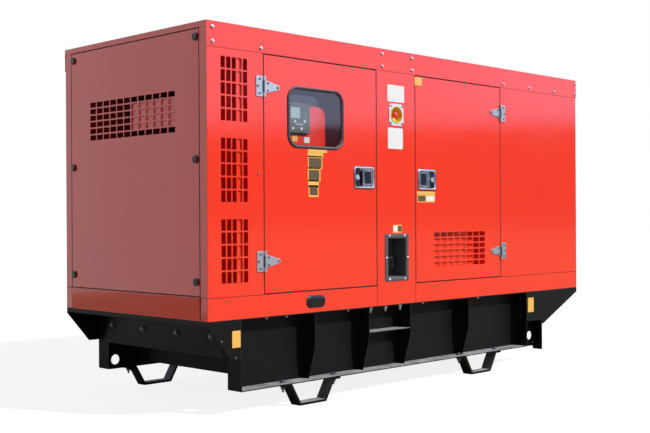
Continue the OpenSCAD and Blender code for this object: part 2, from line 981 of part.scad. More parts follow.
module radiator() {
  half = radiator_w / 2;
  low = 30;
  color("#2a2c2f") front() {
    slab([radiator_x, engine_y - half, low], [radiator_x + radiator_t, engine_y + half, low + radiator_h]);
    for (side = [-1, 1])
      slab(
        [radiator_x - 20, engine_y + side * (half - 30) - 30, 0],
        [radiator_x + radiator_t + 20, engine_y + side * (half - 30) + 30, low]
      );
  }
}

// ---- Nodes ----

front() base_beam();  // base_beam_front
rear() base_beam();  // base_beam_rear
left_end() base_end(overhang_l, overhang_l, overhang_l * 0.68);  // base_end_left
right_end() base_end(overhang_r, overhang_r + tail_l, overhang_r);  // base_end_right
fuel_tank();
union() { front() feet(foot_x1); rear() feet(foot_x1_rear); }
union() { front() sill(true); rear() sill(false); }  // sills
front() vent_panel();  // vent_panel_front
rear() vent_panel();  // vent_panel_rear
front() centre_post(true);  // centre_post_front
rear() centre_post(false);  // centre_post_rear
front() fixed_panel();  // fixed_panel_front
rear() fixed_panel();  // fixed_panel_rear
union() { front() door_frame(true); rear() door_frame(false); }  // door_frames
left_end() end_frame();  // end_frame_left
right_end() end_frame();  // end_frame_right
left_end() end_panel();  // end_panel_left
right_end() end_panel();  // end_panel_right
union() { left_end() knobs(); right_end() knobs(); }  // end_knobs
roof();
front() door_1_leaf();  // door_left
front() door_2_leaf();  // door_right
rear() { door_leaf(door_1_x, 1); door_2_leaf(); }  // rear_doors
front() {  // hinge_leaves
  hinges_of(axis_1_x, 0) hinge_fixed();
  hinges_of(axis_2_x, 1) hinge_fixed();
}
front() hinges_of(axis_1_x, 0) hinge_arm();  // hinge_arms_left
front() hinges_of(axis_2_x, 1) hinge_arm();  // hinge_arms_right
rear() rear_fittings();  // rear_door_fittings
front() seal();  // window_seal
front() glass();  // window_glass
front() latch_place(door_1_x, 1) latch_dish();  // latch_dish_left
front() latch_place(door_2_x, -1) latch_dish();  // latch_dish_right
front() latch_place(door_1_x, 1) latch_handle();  // latch_handle_left
front() latch_place(door_2_x, -1) latch_handle();  // latch_handle_right
control_cabinet();
controller();
stop_cup();
stop_button();
filler_recess();
filler_cap();
sill_plug();
union() { front() vent_baffle(); rear() vent_baffle(); }  // vent_baffles
front() door_duct();  // door_vent_duct
alternator();
engine();
radiator();

module rear_fittings() {
  hinges_of(axis_1_x, 0) { hinge_fixed(); hinge_arm(); }
  hinges_of(axis_2_x, 1) { hinge_fixed(); hinge_arm(); }
  latch_place(door_1_x, 1) { latch_dish(); latch_handle(); }
  latch_place(door_2_x, -1) { latch_dish(); latch_handle(); }
}
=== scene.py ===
# %% [markdown]
# # A diesel generator in its canopy
#
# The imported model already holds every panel, beam and machine at its real
# size, in metres. This lesson dresses it: paint with its gloss and its dust,
# bolts, hinge screws, seals, the control panel behind the window, and the
# quilted lining inside the doors. Every piece is made where the model says
# its neighbours are, so nothing has to be moved into place afterwards.

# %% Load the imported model
import json
import math

import bmesh
import bpy
from mathutils import Matrix, Vector


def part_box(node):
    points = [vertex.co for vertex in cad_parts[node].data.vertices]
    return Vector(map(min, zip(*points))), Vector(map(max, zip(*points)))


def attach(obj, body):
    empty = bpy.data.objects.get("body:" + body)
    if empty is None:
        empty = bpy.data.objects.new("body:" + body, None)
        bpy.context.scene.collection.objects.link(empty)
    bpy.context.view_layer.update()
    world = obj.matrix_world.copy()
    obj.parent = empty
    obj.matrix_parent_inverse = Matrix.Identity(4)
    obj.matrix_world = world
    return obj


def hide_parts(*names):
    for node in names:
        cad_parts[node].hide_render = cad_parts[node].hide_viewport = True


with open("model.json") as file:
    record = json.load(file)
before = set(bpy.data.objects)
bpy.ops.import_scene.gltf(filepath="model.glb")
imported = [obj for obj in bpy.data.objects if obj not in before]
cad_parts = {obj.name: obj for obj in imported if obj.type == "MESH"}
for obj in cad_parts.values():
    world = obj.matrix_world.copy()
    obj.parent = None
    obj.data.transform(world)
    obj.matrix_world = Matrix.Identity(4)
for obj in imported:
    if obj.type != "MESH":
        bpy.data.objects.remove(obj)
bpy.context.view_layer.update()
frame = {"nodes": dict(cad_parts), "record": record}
nodes = frame["nodes"]

# %% [markdown]
# ## Where things are
#
# A maker measures a cabinet from its own faces. Here X is counted from the
# vented end, Y inwards from the door side and Z up from the top of the base
# frame, all in millimetres. One helper turns such a place into a point of
# the scene, the next turns it into a matrix that looks out of a face, and
# another mirrors what was made, because the back repeats the front. The last
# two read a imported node's middle and size as the front shows them, and put
# something new into the scene.

# %% Measuring helpers
MM = 0.001
end_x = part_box("end_panel_left")[0].x
far_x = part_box("end_panel_right")[1].x
face_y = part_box("door_left")[0].y
deck_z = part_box("sills")[0].z
length = (far_x - end_x) / MM
width = -2 * face_y / MM


def at(x, y, z):
    return Vector((end_x + x * MM, face_y + y * MM, deck_z + z * MM))


def turned_by(degrees, axis):
    return Matrix.Rotation(math.radians(degrees), 4, axis)


facings = {
    "front": turned_by(90, "X"),
    "left": turned_by(-90, "Z") @ turned_by(90, "X"),
    "up": Matrix.Identity(4),
    "down": turned_by(180, "X"),
}


def place_on(x, y, z, facing="front"):
    """A matrix whose Z axis points out of a face, at a measured place."""
    return Matrix.Translation(at(x, y, z)) @ facings[facing]


def mirrored(bm, axis):
    """Adds a mirror image of everything in the mesh, faces outwards."""
    made = bmesh.ops.duplicate(bm, geom=bm.verts[:] + bm.edges[:] + bm.faces[:])
    verts = [v for v in made["geom"] if isinstance(v, bmesh.types.BMVert)]
    faces = [f for f in made["geom"] if isinstance(f, bmesh.types.BMFace)]
    for v in verts:
        v.co[axis] = -v.co[axis]
    bmesh.ops.reverse_faces(bm, faces=faces)


def front_view(node):
    """The X and Z of a node's middle, and its width and height, in millimetres."""
    low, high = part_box(node)
    x = ((low.x + high.x) / 2 - end_x) / MM
    z = ((low.z + high.z) / 2 - deck_z) / MM
    return x, z, (high.x - low.x) / MM, (high.z - low.z) / MM


def in_scene(name, data):
    """A new object in the scene; it stands at the origin unless it is moved."""
    obj = bpy.data.objects.new(name, data)
    bpy.context.scene.collection.objects.link(obj)
    return obj


print("canopy", round(length), "x", round(width), "mm; deck at", round(deck_z, 3), "m")

# %% [markdown]
# ## Camera
#
# The set is seen level, from the middle of its height and turned 45 degrees,
# so that both a long side and the vented end show. The camera is placed by
# its own axes, right, up and back, and leans over by a third of a degree.

# %% Camera
azimuth, elevation, roll = math.radians(45.167), math.radians(0.065), math.radians(-0.330)
forward = Vector((
    math.sin(azimuth) * math.cos(elevation),
    math.cos(azimuth) * math.cos(elevation),
    math.sin(elevation),
))
right = Vector((math.cos(azimuth), -math.sin(azimuth), 0))
up = right.cross(forward)
tilted_right = right * math.cos(roll) + up * math.sin(roll)
tilted_up = up * math.cos(roll) - right * math.sin(roll)
camera_data = bpy.data.cameras.new("camera")
camera_data.lens = 57.90
camera_data.sensor_width = 36
camera_stand = (-4.3064, -4.0875, 0.8799)
camera = in_scene("camera", camera_data)
axes = Matrix((tilted_right, tilted_up, -forward)).transposed().to_4x4()
camera.matrix_world = Matrix.Translation(camera_stand) @ axes
bpy.context.scene.camera = camera
bpy.context.scene.view_settings.view_transform = "Standard"
print("camera height", round(camera.matrix_world.translation.z, 3))

# %% [markdown]
# ## Floor and light
#
# A high key light from the right of the doors gives them their full colour
# and leaves the vented end in shade, where a wide, weak panel fills in. A
# board just behind that panel shows in gloss and nowhere else. The world
# lights the set only modestly, and a light path switch shows it as plain
# white to the camera and through glass. Gloss sees a cool sky that ends in a
# dark band near the ground, as it does outdoors, and that edge is what makes
# sheet steel look glossy. The floor glows a little for the camera alone, so
# it reads as white and still keeps a shadow.

# %% Node helpers
def feed(tree, node, **sockets):
    """Sets a node's inputs: a tuple or number is a value, a socket is a link."""
    for name, value in sockets.items():
        key = int(name[1:]) if name[0] == "i" and name[1:].isdigit() else name.replace("_", " ")
        if isinstance(value, bpy.types.NodeSocket):
            tree.links.new(value, node.inputs[key])
        else:
            node.inputs[key].default_value = value


def add(tree, kind, settings=None, **sockets):
    """A new node with its settings made and its inputs fed."""
    node = tree.nodes.new(kind)
    for key, value in (settings or {}).items():
        setattr(node, key, value)
    feed(tree, node, **sockets)
    return node


def new_material(name, empty=True):
    """A material and its node tree, without the usual shader where it is to be empty."""
    material = bpy.data.materials.new(name)
    material.use_nodes = True
    if empty:
        material.node_tree.nodes.clear()
    return material, material.node_tree


def maths(tree, operation, a, b=0.0, clamp=False):
    settings = dict(operation=operation, use_clamp=clamp)
    return add(tree, "ShaderNodeMath", settings, i0=a, i1=b).outputs[0]


def dot(tree, a, b):
    settings = dict(operation="DOT_PRODUCT")
    return add(tree, "ShaderNodeVectorMath", settings, i0=a, i1=b).outputs["Value"]


def mix_colour(tree, factor, a, b):
    settings = dict(data_type="RGBA")
    return add(tree, "ShaderNodeMix", settings, i0=factor, i6=a, i7=b).outputs[2]


def ramp(tree, factor, low, high, a=0.0, b=1.0):
    """Maps low..high onto a..b, and holds the ends."""
    ends = dict(From_Min=low, From_Max=high, To_Min=a, To_Max=b)
    return add(tree, "ShaderNodeMapRange", Value=factor, **ends).outputs[0]


# %% World
world = bpy.data.worlds.new("world")
bpy.context.scene.world = world
world.use_nodes = True
sky = world.node_tree
sky.nodes.clear()
paths = sky.nodes.new("ShaderNodeLightPath")
bounces = maths(sky, "ADD", paths.outputs["Diffuse Depth"], paths.outputs["Glossy Depth"])
unbounced = maths(sky, "LESS_THAN", bounces, 0.5)
through = maths(sky, "MULTIPLY", paths.outputs["Is Transmission Ray"], unbounced)
seen = maths(sky, "MAXIMUM", paths.outputs["Is Camera Ray"], through)
direction = sky.nodes.new("ShaderNodeTexCoord")
height = add(sky, "ShaderNodeSeparateXYZ", Vector=direction.outputs["Generated"]).outputs["Z"]
ground_ends, sky_starts = 0.083, 0.090
ground_glow, sky_glow = 0.07, 1.35
room_light = 0.22
gloss = ramp(sky, height, ground_ends, sky_starts, ground_glow, sky_glow)
soft = add(sky, "ShaderNodeBackground", Color=(0.96, 0.98, 1.0, 1), Strength=room_light)
bright = add(sky, "ShaderNodeBackground", Color=(1, 1, 1, 1), Strength=1.0)
shine = add(sky, "ShaderNodeBackground", Color=(0.80, 0.97, 1.42, 1), Strength=gloss)
in_gloss = paths.outputs["Is Glossy Ray"]
lit = add(sky, "ShaderNodeMixShader", Fac=in_gloss, i1=soft.outputs[0], i2=shine.outputs[0])
shown = add(sky, "ShaderNodeMixShader", Fac=seen, i1=lit.outputs[0], i2=bright.outputs[0])
add(sky, "ShaderNodeOutputWorld", Surface=shown.outputs[0])
print("world lights at", room_light, "and shows white")

# %% Lamps
def lamp(name, kind, aim, energy, colour=(1, 1, 1), origin=(0, 0, 0), **settings):
    data = bpy.data.lights.new(name, kind)
    data.energy = energy
    data.color = colour
    for key, value in settings.items():
        setattr(data, key, value)
    obj = in_scene(name, data)
    turn = Vector(aim).normalized().to_track_quat("-Z", "Y").to_matrix().to_4x4()
    obj.matrix_world = Matrix.Translation(origin) @ turn
    return obj


key_aim, key_strength = (-0.33, 0.75, -0.57), 3.5
lamp("key_light", "SUN", key_aim, key_strength, (1.0, 0.985, 0.96), angle=0.04)
fill_aim, fill_stand, fill_watts = (0.62, -0.78, 0.0), (-4.2, 3.8, 1.6), 15
end_fill = lamp(
    "end_fill", "AREA", fill_aim, fill_watts, (0.90, 0.96, 1.0), origin=fill_stand,
    shape="RECTANGLE", size=3.0, size_y=4.0,
)
print("one key light and one fill")

# %% Board that only gloss sees
board_material, tree = new_material("gloss_board")
glossy = tree.nodes.new("ShaderNodeLightPath").outputs["Is Glossy Ray"]
glow = add(tree, "ShaderNodeEmission", Color=(0.92, 0.97, 1.0, 1), Strength=0.92)
unseen = tree.nodes.new("ShaderNodeBsdfTransparent")
either = add(tree, "ShaderNodeMixShader", Fac=glossy, i1=unseen.outputs[0], i2=glow.outputs[0])
add(tree, "ShaderNodeOutputMaterial", Surface=either.outputs[0])
board_w, board_h = 3.6, 4.4
behind_fill = Matrix.Translation((0, 0, 0.05))


def stage_sheet(name, w, h, matrix, material):
    """A flat sheet, w by h metres, for the stage."""
    bm = bmesh.new()
    bmesh.ops.create_grid(bm, x_segments=1, y_segments=1, size=0.5)
    bmesh.ops.scale(bm, verts=bm.verts, vec=(w, h, 1))
    bmesh.ops.transform(bm, verts=bm.verts, matrix=matrix)
    mesh = bpy.data.meshes.new(name)
    bm.to_mesh(mesh)
    bm.free()
    mesh.materials.append(material)
    in_scene(name, mesh)


stage_sheet("gloss_board", board_w, board_h, end_fill.matrix_world @ behind_fill, board_material)
print("board of", board_w, "by", board_h, "m beside the end")

# %% Floor
floor_material, tree = new_material("pale_floor")
paths = tree.nodes.new("ShaderNodeLightPath")
to_camera = paths.outputs["Is Camera Ray"]
lighting_tone, gloss_tone = (0.36, 0.36, 0.36, 1), (0.60, 0.50, 0.37, 1)
camera_tone, camera_glow = (0.26, 0.26, 0.26, 1), 0.86
unseen_tone = mix_colour(tree, paths.outputs["Is Glossy Ray"], lighting_tone, gloss_tone)
floor_tone = mix_colour(tree, to_camera, unseen_tone, camera_tone)
matt = add(tree, "ShaderNodeBsdfDiffuse", Color=floor_tone)
glow_strength = maths(tree, "MULTIPLY", to_camera, camera_glow)
glow = add(tree, "ShaderNodeEmission", Color=(1, 1, 1, 1), Strength=glow_strength)
both = add(tree, "ShaderNodeAddShader", i0=matt.outputs[0], i1=glow.outputs[0])
add(tree, "ShaderNodeOutputMaterial", Surface=both.outputs[0])
floor_w = 120
stage_sheet("floor", floor_w, floor_w, Matrix.Identity(4), floor_material)
print("floor", floor_w, "m wide")

# %% [markdown]
# ## Shared finish effects
#
# Four effects turn up on many surfaces, so each is a node group with its
# own dials. **Worn edge** compares the true normal with one rounded off by
# the Bevel node: where they differ there is an edge, and paint is thin or
# polished there. **Dust and top light** pales faces that look up, broken by
# noise: settled dust, and on the black frame also painted sunlight on its
# tops. **Paint skin** is the faint orange peel of sprayed or baked paint.
# **Uneven tone** is the slow drift of shade across a large panel.

# %% Node group helper
def effect(name, inputs, outputs):
    """An empty shader node group with named sockets; returns the group and its two ends."""
    group = bpy.data.node_groups.new(name, "ShaderNodeTree")
    for socket, value in inputs.items():
        made = group.interface.new_socket(socket, in_out="INPUT", socket_type="NodeSocketFloat")
        made.default_value = value
    for socket, kind in outputs.items():
        group.interface.new_socket(socket, in_out="OUTPUT", socket_type=kind)
    return group, group.nodes.new("NodeGroupInput"), group.nodes.new("NodeGroupOutput")


def place(tree, group, **dials):
    node = tree.nodes.new("ShaderNodeGroup")
    node.node_tree = group
    feed(tree, node, **dials)
    return node


def noise(tree, where, scale, detail=2.0, roughness=0.5):
    dials = dict(Vector=where, Scale=scale, Detail=detail, Roughness=roughness)
    return add(tree, "ShaderNodeTexNoise", **dials).outputs[0]


# %% Worn edge
worn_edge, dial, out = effect(
    "worn_edge", {"Radius": 0.002, "Amount": 1.0},
    {"Mask": "NodeSocketFloat", "Normal": "NodeSocketVector"},
)
radius = dial.outputs["Radius"]
rounded_off = add(worn_edge, "ShaderNodeBevel", dict(samples=4), Radius=radius).outputs[0]
true_normal = worn_edge.nodes.new("ShaderNodeNewGeometry").outputs["True Normal"]
flat_agrees, edge_agrees = 0.985, 0.80
bent = ramp(worn_edge, dot(worn_edge, rounded_off, true_normal), flat_agrees, edge_agrees)
where = worn_edge.nodes.new("ShaderNodeTexCoord").outputs["Object"]
patchy = ramp(worn_edge, noise(worn_edge, where, 60.0, 4.0), 0.42, 0.62)
chipped = maths(worn_edge, "MULTIPLY", bent, patchy)
mask = maths(worn_edge, "MULTIPLY", chipped, dial.outputs["Amount"], True)
feed(worn_edge, out, Mask=mask, Normal=rounded_off)
print("group worn_edge")

# %% Dust and top light
dust_and_top_light, dial, out = effect(
    "dust_and_top_light", {"Amount": 0.5, "Scale": 12.0}, {"Mask": "NodeSocketFloat"},
)
surface = dust_and_top_light.nodes.new("ShaderNodeNewGeometry")
upward = add(dust_and_top_light, "ShaderNodeSeparateXYZ", Vector=surface.outputs["Normal"]).outputs["Z"]
where = dust_and_top_light.nodes.new("ShaderNodeTexCoord").outputs["Object"]
speckle = noise(dust_and_top_light, where, dial.outputs["Scale"], 5.0, 0.6)
cloud = ramp(dust_and_top_light, speckle, 0.3, 0.7, 0.45, 1.0)
# Faces that look up grow pale: settled dust, and on black paint also painted sunlight on the tops.
steep, level = 0.25, 0.95
lying = maths(dust_and_top_light, "MULTIPLY", ramp(dust_and_top_light, upward, steep, level), cloud)
mask = maths(dust_and_top_light, "MULTIPLY", lying, dial.outputs["Amount"], True)
feed(dust_and_top_light, out, Mask=mask)
print("group dust_and_top_light")

# %% Paint skin
paint_skin, dial, out = effect("paint_skin", {"Size": 0.004}, {"Height": "NodeSocketFloat"})
where = paint_skin.nodes.new("ShaderNodeTexCoord").outputs["Object"]
finer = maths(paint_skin, "DIVIDE", 1.0, dial.outputs["Size"])
ripple = noise(paint_skin, where, finer, 1.0)
broad = noise(paint_skin, where, maths(paint_skin, "MULTIPLY", finer, 0.12), 1.0)
skin = maths(paint_skin, "ADD", maths(paint_skin, "MULTIPLY", ripple, 0.35), broad)
feed(paint_skin, out, Height=skin)
print("group paint_skin")

# %% Uneven tone
uneven_tone, dial, out = effect(
    "uneven_tone", {"Scale": 3.0, "Amount": 0.1}, {"Mask": "NodeSocketFloat"},
)
where = uneven_tone.nodes.new("ShaderNodeTexCoord").outputs["Object"]
drift = noise(uneven_tone, where, dial.outputs["Scale"], 4.0, 0.55)
mask = maths(uneven_tone, "MULTIPLY", ramp(uneven_tone, drift, 0.3, 0.7), dial.outputs["Amount"])
feed(uneven_tone, out, Mask=mask)
print("group uneven_tone")

# %% [markdown]
# ## Finishes
#
# A finish here is one Principled shader with the four effects around it.
# The recipe is the same for paint, plastic, rubber and metal: the tone
# drifts, dust lies on top, edges wear to a second colour, and the skin
# gives the highlight its grain. On the black frame the pale dust on top
# faces is partly painted sunlight. What differs are the dials, so one maker
# function is enough, and each real finish is one call.

# %% The finish maker
tone_depth, dust_roughness = 0.55, 0.5


def finish(
    name, colour, roughness, metal=0.0, specular=0.5, rough_drift=0.08,
    tone=0.12, tone_scale=3.0, dust=0.0, dust_and_top_light_colour=(0.42, 0.38, 0.33, 1),
    wear=0.0, wear_colour=(0.5, 0.5, 0.5, 1), wear_metal=0.0, edge=0.0015,
    skin=0.004, bump=0.0002,
):
    """A Principled material whose tone, dust (with painted sunlight on black paint), wear and skin
    come from the shared effects.
    """
    material, tree = new_material(name, empty=False)
    shader = tree.nodes["Principled BSDF"]
    drift = place(tree, uneven_tone, Scale=tone_scale, Amount=tone).outputs["Mask"]
    edges = place(tree, worn_edge, Radius=edge, Amount=wear)
    lying = place(tree, dust_and_top_light, Amount=dust).outputs["Mask"]
    base = tuple(colour) + (1,)
    darker = tuple(c * tone_depth for c in colour) + (1,)
    toned = mix_colour(tree, drift, base, darker)
    worn = mix_colour(tree, edges.outputs["Mask"], toned, wear_colour)
    dusted_and_top_lit = mix_colour(tree, lying, worn, dust_and_top_light_colour)
    drifting = maths(tree, "MULTIPLY", drift, rough_drift / max(tone, 0.01))
    rough = maths(tree, "ADD", roughness, drifting)
    rough = maths(tree, "ADD", rough, maths(tree, "MULTIPLY", lying, dust_roughness), True)
    if wear_metal and not metal:
        metal = maths(tree, "MULTIPLY", edges.outputs["Mask"], wear_metal)
    grain = place(tree, paint_skin, Size=skin).outputs["Height"]
    bumpy = add(tree, "ShaderNodeBump", Height=grain, Normal=edges.outputs["Normal"], Distance=bump)
    feed(tree, shader, Base_Color=dusted_and_top_lit, Roughness=rough, Metallic=metal)
    feed(tree, shader, Normal=bumpy.outputs[0], Specular_IOR_Level=specular)
    return material


# %% Paints
red_paint = finish(
    "red_paint", (0.92, 0.046, 0.020), 0.068, specular=0.6, rough_drift=0.05, tone=0.05,
    dust=0.16, dust_and_top_light_colour=(0.75, 0.30, 0.24, 1),
    wear=0.25, wear_colour=(0.95, 0.16, 0.09, 1), edge=0.0022, skin=0.006, bump=0.00012,
)
# Its pale dust on upward faces is partly dust and partly painted sunlight on the tops of the
# flanges and feet.
black_paint = finish(
    "black_paint", (0.0062, 0.0064, 0.0067), 0.34, specular=0.13, rough_drift=0.12,
    tone=0.35, tone_scale=5.0, dust=0.95, dust_and_top_light_colour=(0.58, 0.575, 0.56, 1),
    wear=0.5, wear_colour=(0.10, 0.10, 0.10, 1), edge=0.003, bump=0.0003,
)
grey_paint = finish(
    "grey_paint", (0.085, 0.088, 0.098), 0.33, tone=0.25, dust=0.4,
    wear=0.6, wear_colour=(0.4, 0.4, 0.42, 1), wear_metal=0.6,
)
alternator_paint = finish(
    "alternator_paint", (0.045, 0.05, 0.06), 0.42, tone=0.3, dust=0.5, wear=0.4, wear_metal=0.5,
)
engine_paint = finish(
    "engine_paint", (0.16, 0.165, 0.17), 0.48, tone=0.45, tone_scale=9.0, dust=0.5,
    wear=0.6, wear_metal=0.6, bump=0.0008,
)
radiator_core = finish(
    "radiator_core", (0.014, 0.014, 0.015), 0.55, tone=0.4, dust=0.4, wear=0.4, bump=0.0006,
)
print("six paints")

# %% Plastics and rubber
black_plastic = finish(
    "black_plastic", (0.011, 0.011, 0.011), 0.30, specular=0.3, tone=0.25, dust=0.25,
    wear=0.3, wear_colour=(0.09, 0.09, 0.09, 1),
)
pocket_black = finish(
    "pocket_black", (0.006, 0.007, 0.011), 0.22, specular=0.4, tone=0.2,
    wear=0.2, wear_colour=(0.05, 0.05, 0.06, 1),
)
# Painted shade: a nearly black band that stands for the shadow in the panel gaps.
painted_gap_shade = finish("painted_gap_shade", (0.016, 0.006, 0.006), 0.6, specular=0.2, tone=0.2)
grey_bead = finish(
    "grey_bead", (0.40, 0.38, 0.38), 0.30, tone=0.25, wear=0.4, wear_colour=(0.6, 0.58, 0.56, 1),
)
rubber = finish(
    "rubber", (0.030, 0.028, 0.032), 0.42, tone=0.3, dust=0.35,
    wear=0.5, wear_colour=(0.16, 0.15, 0.17, 1), bump=0.0004,
)
controller_case = finish(
    "controller_case", (0.055, 0.062, 0.07), 0.45, tone=0.2, dust=0.2, wear=0.2,
)
yellow_plastic = finish(
    "yellow_plastic", (0.88, 0.60, 0.06), 0.25, tone=0.2, dust=0.1,
    wear=0.2, wear_colour=(0.95, 0.8, 0.4, 1),
)
red_plastic = finish(
    "red_plastic", (0.80, 0.035, 0.02), 0.22, tone=0.15, wear=0.3, wear_colour=(0.95, 0.3, 0.25, 1),
)
print("plastics and rubber")

# %% Labels and foam
label_white = finish("label_white", (0.80, 0.81, 0.82), 0.4, tone=0.06, bump=0.00005)
label_yellow = finish("label_yellow", (0.88, 0.50, 0.10), 0.4, tone=0.15, bump=0.00005)
label_dark = finish("label_dark", (0.10, 0.065, 0.02), 0.4, tone=0.3, bump=0.00005)
foam_lining = finish(
    "foam_lining", (0.035, 0.036, 0.038), 0.85, specular=0.2, tone=0.4, tone_scale=14.0,
    skin=0.012, bump=0.004,
)
print("three label finishes and foam")

# %% Metals
zinc = finish(
    "zinc", (0.49, 0.532, 0.561), 0.34, metal=0.85, tone=0.35, tone_scale=40.0,
    wear=0.3, wear_colour=(0.9, 0.92, 0.95, 1), bump=0.0004,
)
chrome = finish(
    "chrome", (0.80, 0.82, 0.86), 0.12, metal=1.0, tone=0.1, tone_scale=25.0,
    edge=0.0025, bump=0.0001,
)
pale_steel = finish(
    "pale_steel", (0.74, 0.74, 0.78), 0.30, metal=0.25, tone=0.12, tone_scale=30.0,
    wear=0.3, wear_colour=(0.3, 0.3, 0.32, 1),
)
dark_steel = finish(
    "dark_steel", (0.13, 0.13, 0.14), 0.38, metal=0.8, tone=0.3, tone_scale=60.0,
    wear=0.6, wear_colour=(0.5, 0.5, 0.5, 1),
)
bright_bolt = finish(
    "bright_bolt", (0.62, 0.62, 0.63), 0.30, metal=0.9, tone=0.2, tone_scale=60.0, edge=0.001,
)
print("five metals")

# %% [markdown]
# ## Glass
#
# Real glass lets light through, but a path tracer finds the way from a lamp
# through it only with luck, so the room behind stays black. The Light Path
# node mends that: a shadow ray towards the key light passes as through clear
# glass, one in any other direction as through a tinted pane, and so does the
# soft light of the room behind. Every other ray meets glass with its
# reflections.

# %% Glass
window_glass, tree = new_material("window_glass", empty=False)
shader = tree.nodes["Principled BSDF"]
smudge = place(tree, uneven_tone, Scale=9.0, Amount=0.06).outputs["Mask"]
wiped, smudged = (0.92, 0.95, 0.96, 1), (0.78, 0.81, 0.82, 1)
feed(tree, shader, Base_Color=mix_colour(tree, smudge, wiped, smudged))
feed(tree, shader, Roughness=maths(tree, "ADD", smudge, 0.01))
feed(tree, shader, Transmission_Weight=1.0, IOR=1.45)
ray = tree.nodes.new("ShaderNodeNewGeometry").outputs["Incoming"]
off_key, on_key = 0.97, 0.99
keyed = ramp(tree, dot(tree, ray, Vector(key_aim).normalized()), off_key, on_key)
shade = mix_colour(tree, keyed, (0.10, 0.10, 0.11, 1), (1.0, 1.0, 1.0, 1))
clear = add(tree, "ShaderNodeBsdfTransparent", Color=shade)
paths = tree.nodes.new("ShaderNodeLightPath")
passing = maths(tree, "MAXIMUM", paths.outputs["Is Shadow Ray"], paths.outputs["Is Diffuse Ray"])
either = add(tree, "ShaderNodeMixShader", Fac=passing, i1=shader.outputs[0], i2=clear.outputs[0])
tree.links.new(either.outputs[0], tree.nodes["Material Output"].inputs["Surface"])
print("glass with clear shadows")

# %% [markdown]
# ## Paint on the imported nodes
#
# The record says which finish each node wears, under the name of a material
# slot. Each name is matched to the material made above.

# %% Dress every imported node
finishes = dict(
    red_paint=red_paint, black_paint=black_paint, grey_paint=grey_paint,
    alternator_paint=alternator_paint, engine_paint=engine_paint, radiator_core=radiator_core,
    black_plastic=black_plastic, yellow_plastic=yellow_plastic, red_plastic=red_plastic,
    rubber=rubber, controller_case=controller_case, zinc=zinc, chrome=chrome, glass=window_glass,
)
for part in frame["record"]["subparts"]:
    node = nodes[part["node"]]
    node.data.materials.clear()
    node.data.materials.append(finishes[part["material_slot"]])
print(len(nodes), "nodes painted")

# %% [markdown]
# ## Making a piece
#
# Every new piece ends the same way: its mesh becomes an object at the
# origin, takes a material and rides on a body.
# Flat fittings start from one square face whose corners are rounded by a
# bevel, and then extrude, inset and bevel shape the rest.

# %% Piece helpers
def piece(name, bm, material, body="canopy_and_base", smooth=35.0, replaces=()):
    """Turns a bmesh into a finished piece; faces that meet at under smooth degrees look round."""
    mesh = bpy.data.meshes.new(name)
    bm.normal_update()
    bm.to_mesh(mesh)
    bm.free()
    mesh.materials.append(material)
    mesh.shade_smooth()
    mesh.set_sharp_from_angle(angle=math.radians(smooth))
    obj = in_scene(name, mesh)
    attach(obj, body)
    if replaces:
        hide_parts(*replaces)
    print(name, len(mesh.polygons), "faces")
    return obj


def stamp(bm, pattern, matrix):
    """Copies a small pattern mesh into bm, moved by the matrix."""
    mesh = bpy.data.meshes.new("pattern")
    pattern.to_mesh(mesh)
    mesh.transform(matrix)
    if matrix.determinant() < 0:
        mesh.flip_normals()
    bm.from_mesh(mesh)
    bpy.data.meshes.remove(mesh)


def stamped(pattern, *matrices):
    """A new mesh with one copy of the pattern for each matrix."""
    bm = bmesh.new()
    for matrix in matrices:
        stamp(bm, pattern, matrix)
    return bm


def lifted(bm, faces, height):
    """Extrudes flat faces by a height in millimetres and keeps the old ones as a back."""
    made = bmesh.ops.extrude_face_region(bm, geom=faces, use_keep_orig=True)
    verts = [g for g in made["geom"] if isinstance(g, bmesh.types.BMVert)]
    bmesh.ops.translate(bm, verts=verts, vec=(0, 0, height * MM))
    bmesh.ops.recalc_face_normals(bm, faces=bm.faces)


def topmost(bm):
    return max(bm.faces, key=lambda f: f.calc_center_median().z)


def rounded_face(w, h, r, steps=5):
    """One flat face, w by h millimetres with corner radius r, looking up."""
    bm = bmesh.new()
    bmesh.ops.create_grid(bm, x_segments=1, y_segments=1, size=0.5)
    bmesh.ops.scale(bm, verts=bm.verts, vec=(w * MM, h * MM, 1))
    if r > 0:
        bmesh.ops.bevel(
            bm, geom=bm.verts[:], offset=r * MM, offset_type="OFFSET", segments=steps,
            profile=0.5, affect="VERTICES", material=-1,
        )
    return bm


def raise_face(bm, height):
    """Pushes the single face up and closes it with walls and a back."""
    lifted(bm, bm.faces[:], height)
    return topmost(bm)


def step_in(bm, face, across, height):
    """Insets a face and moves the new, smaller face up or down."""
    bmesh.ops.inset_region(bm, faces=[face], thickness=across * MM, use_even_offset=True)
    bmesh.ops.translate(bm, verts=face.verts, vec=(0, 0, height * MM))


def plate(w, h, r, thick, edge=0.4):
    """A flat plate with rounded corners and a softened front edge."""
    bm = rounded_face(w, h, r)
    top = raise_face(bm, thick - edge)
    step_in(bm, top, edge, edge)
    return bm


# %% Fastener patterns
def turned(profile, steps=24):
    """A solid turned round Z from (radius, height) points in millimetres."""
    bm = bmesh.new()
    points = [bm.verts.new((r * MM, 0, z * MM)) for r, z in profile]
    edges = [bm.edges.new(pair) for pair in zip(points, points[1:])]
    bmesh.ops.spin(
        bm, geom=points + edges, axis=(0, 0, 1), cent=(0, 0, 0), angle=math.tau,
        steps=steps, use_merge=True, use_duplicate=False,
    )
    bmesh.ops.remove_doubles(bm, verts=bm.verts, dist=1e-6)
    bmesh.ops.recalc_face_normals(bm, faces=bm.faces)
    return bm


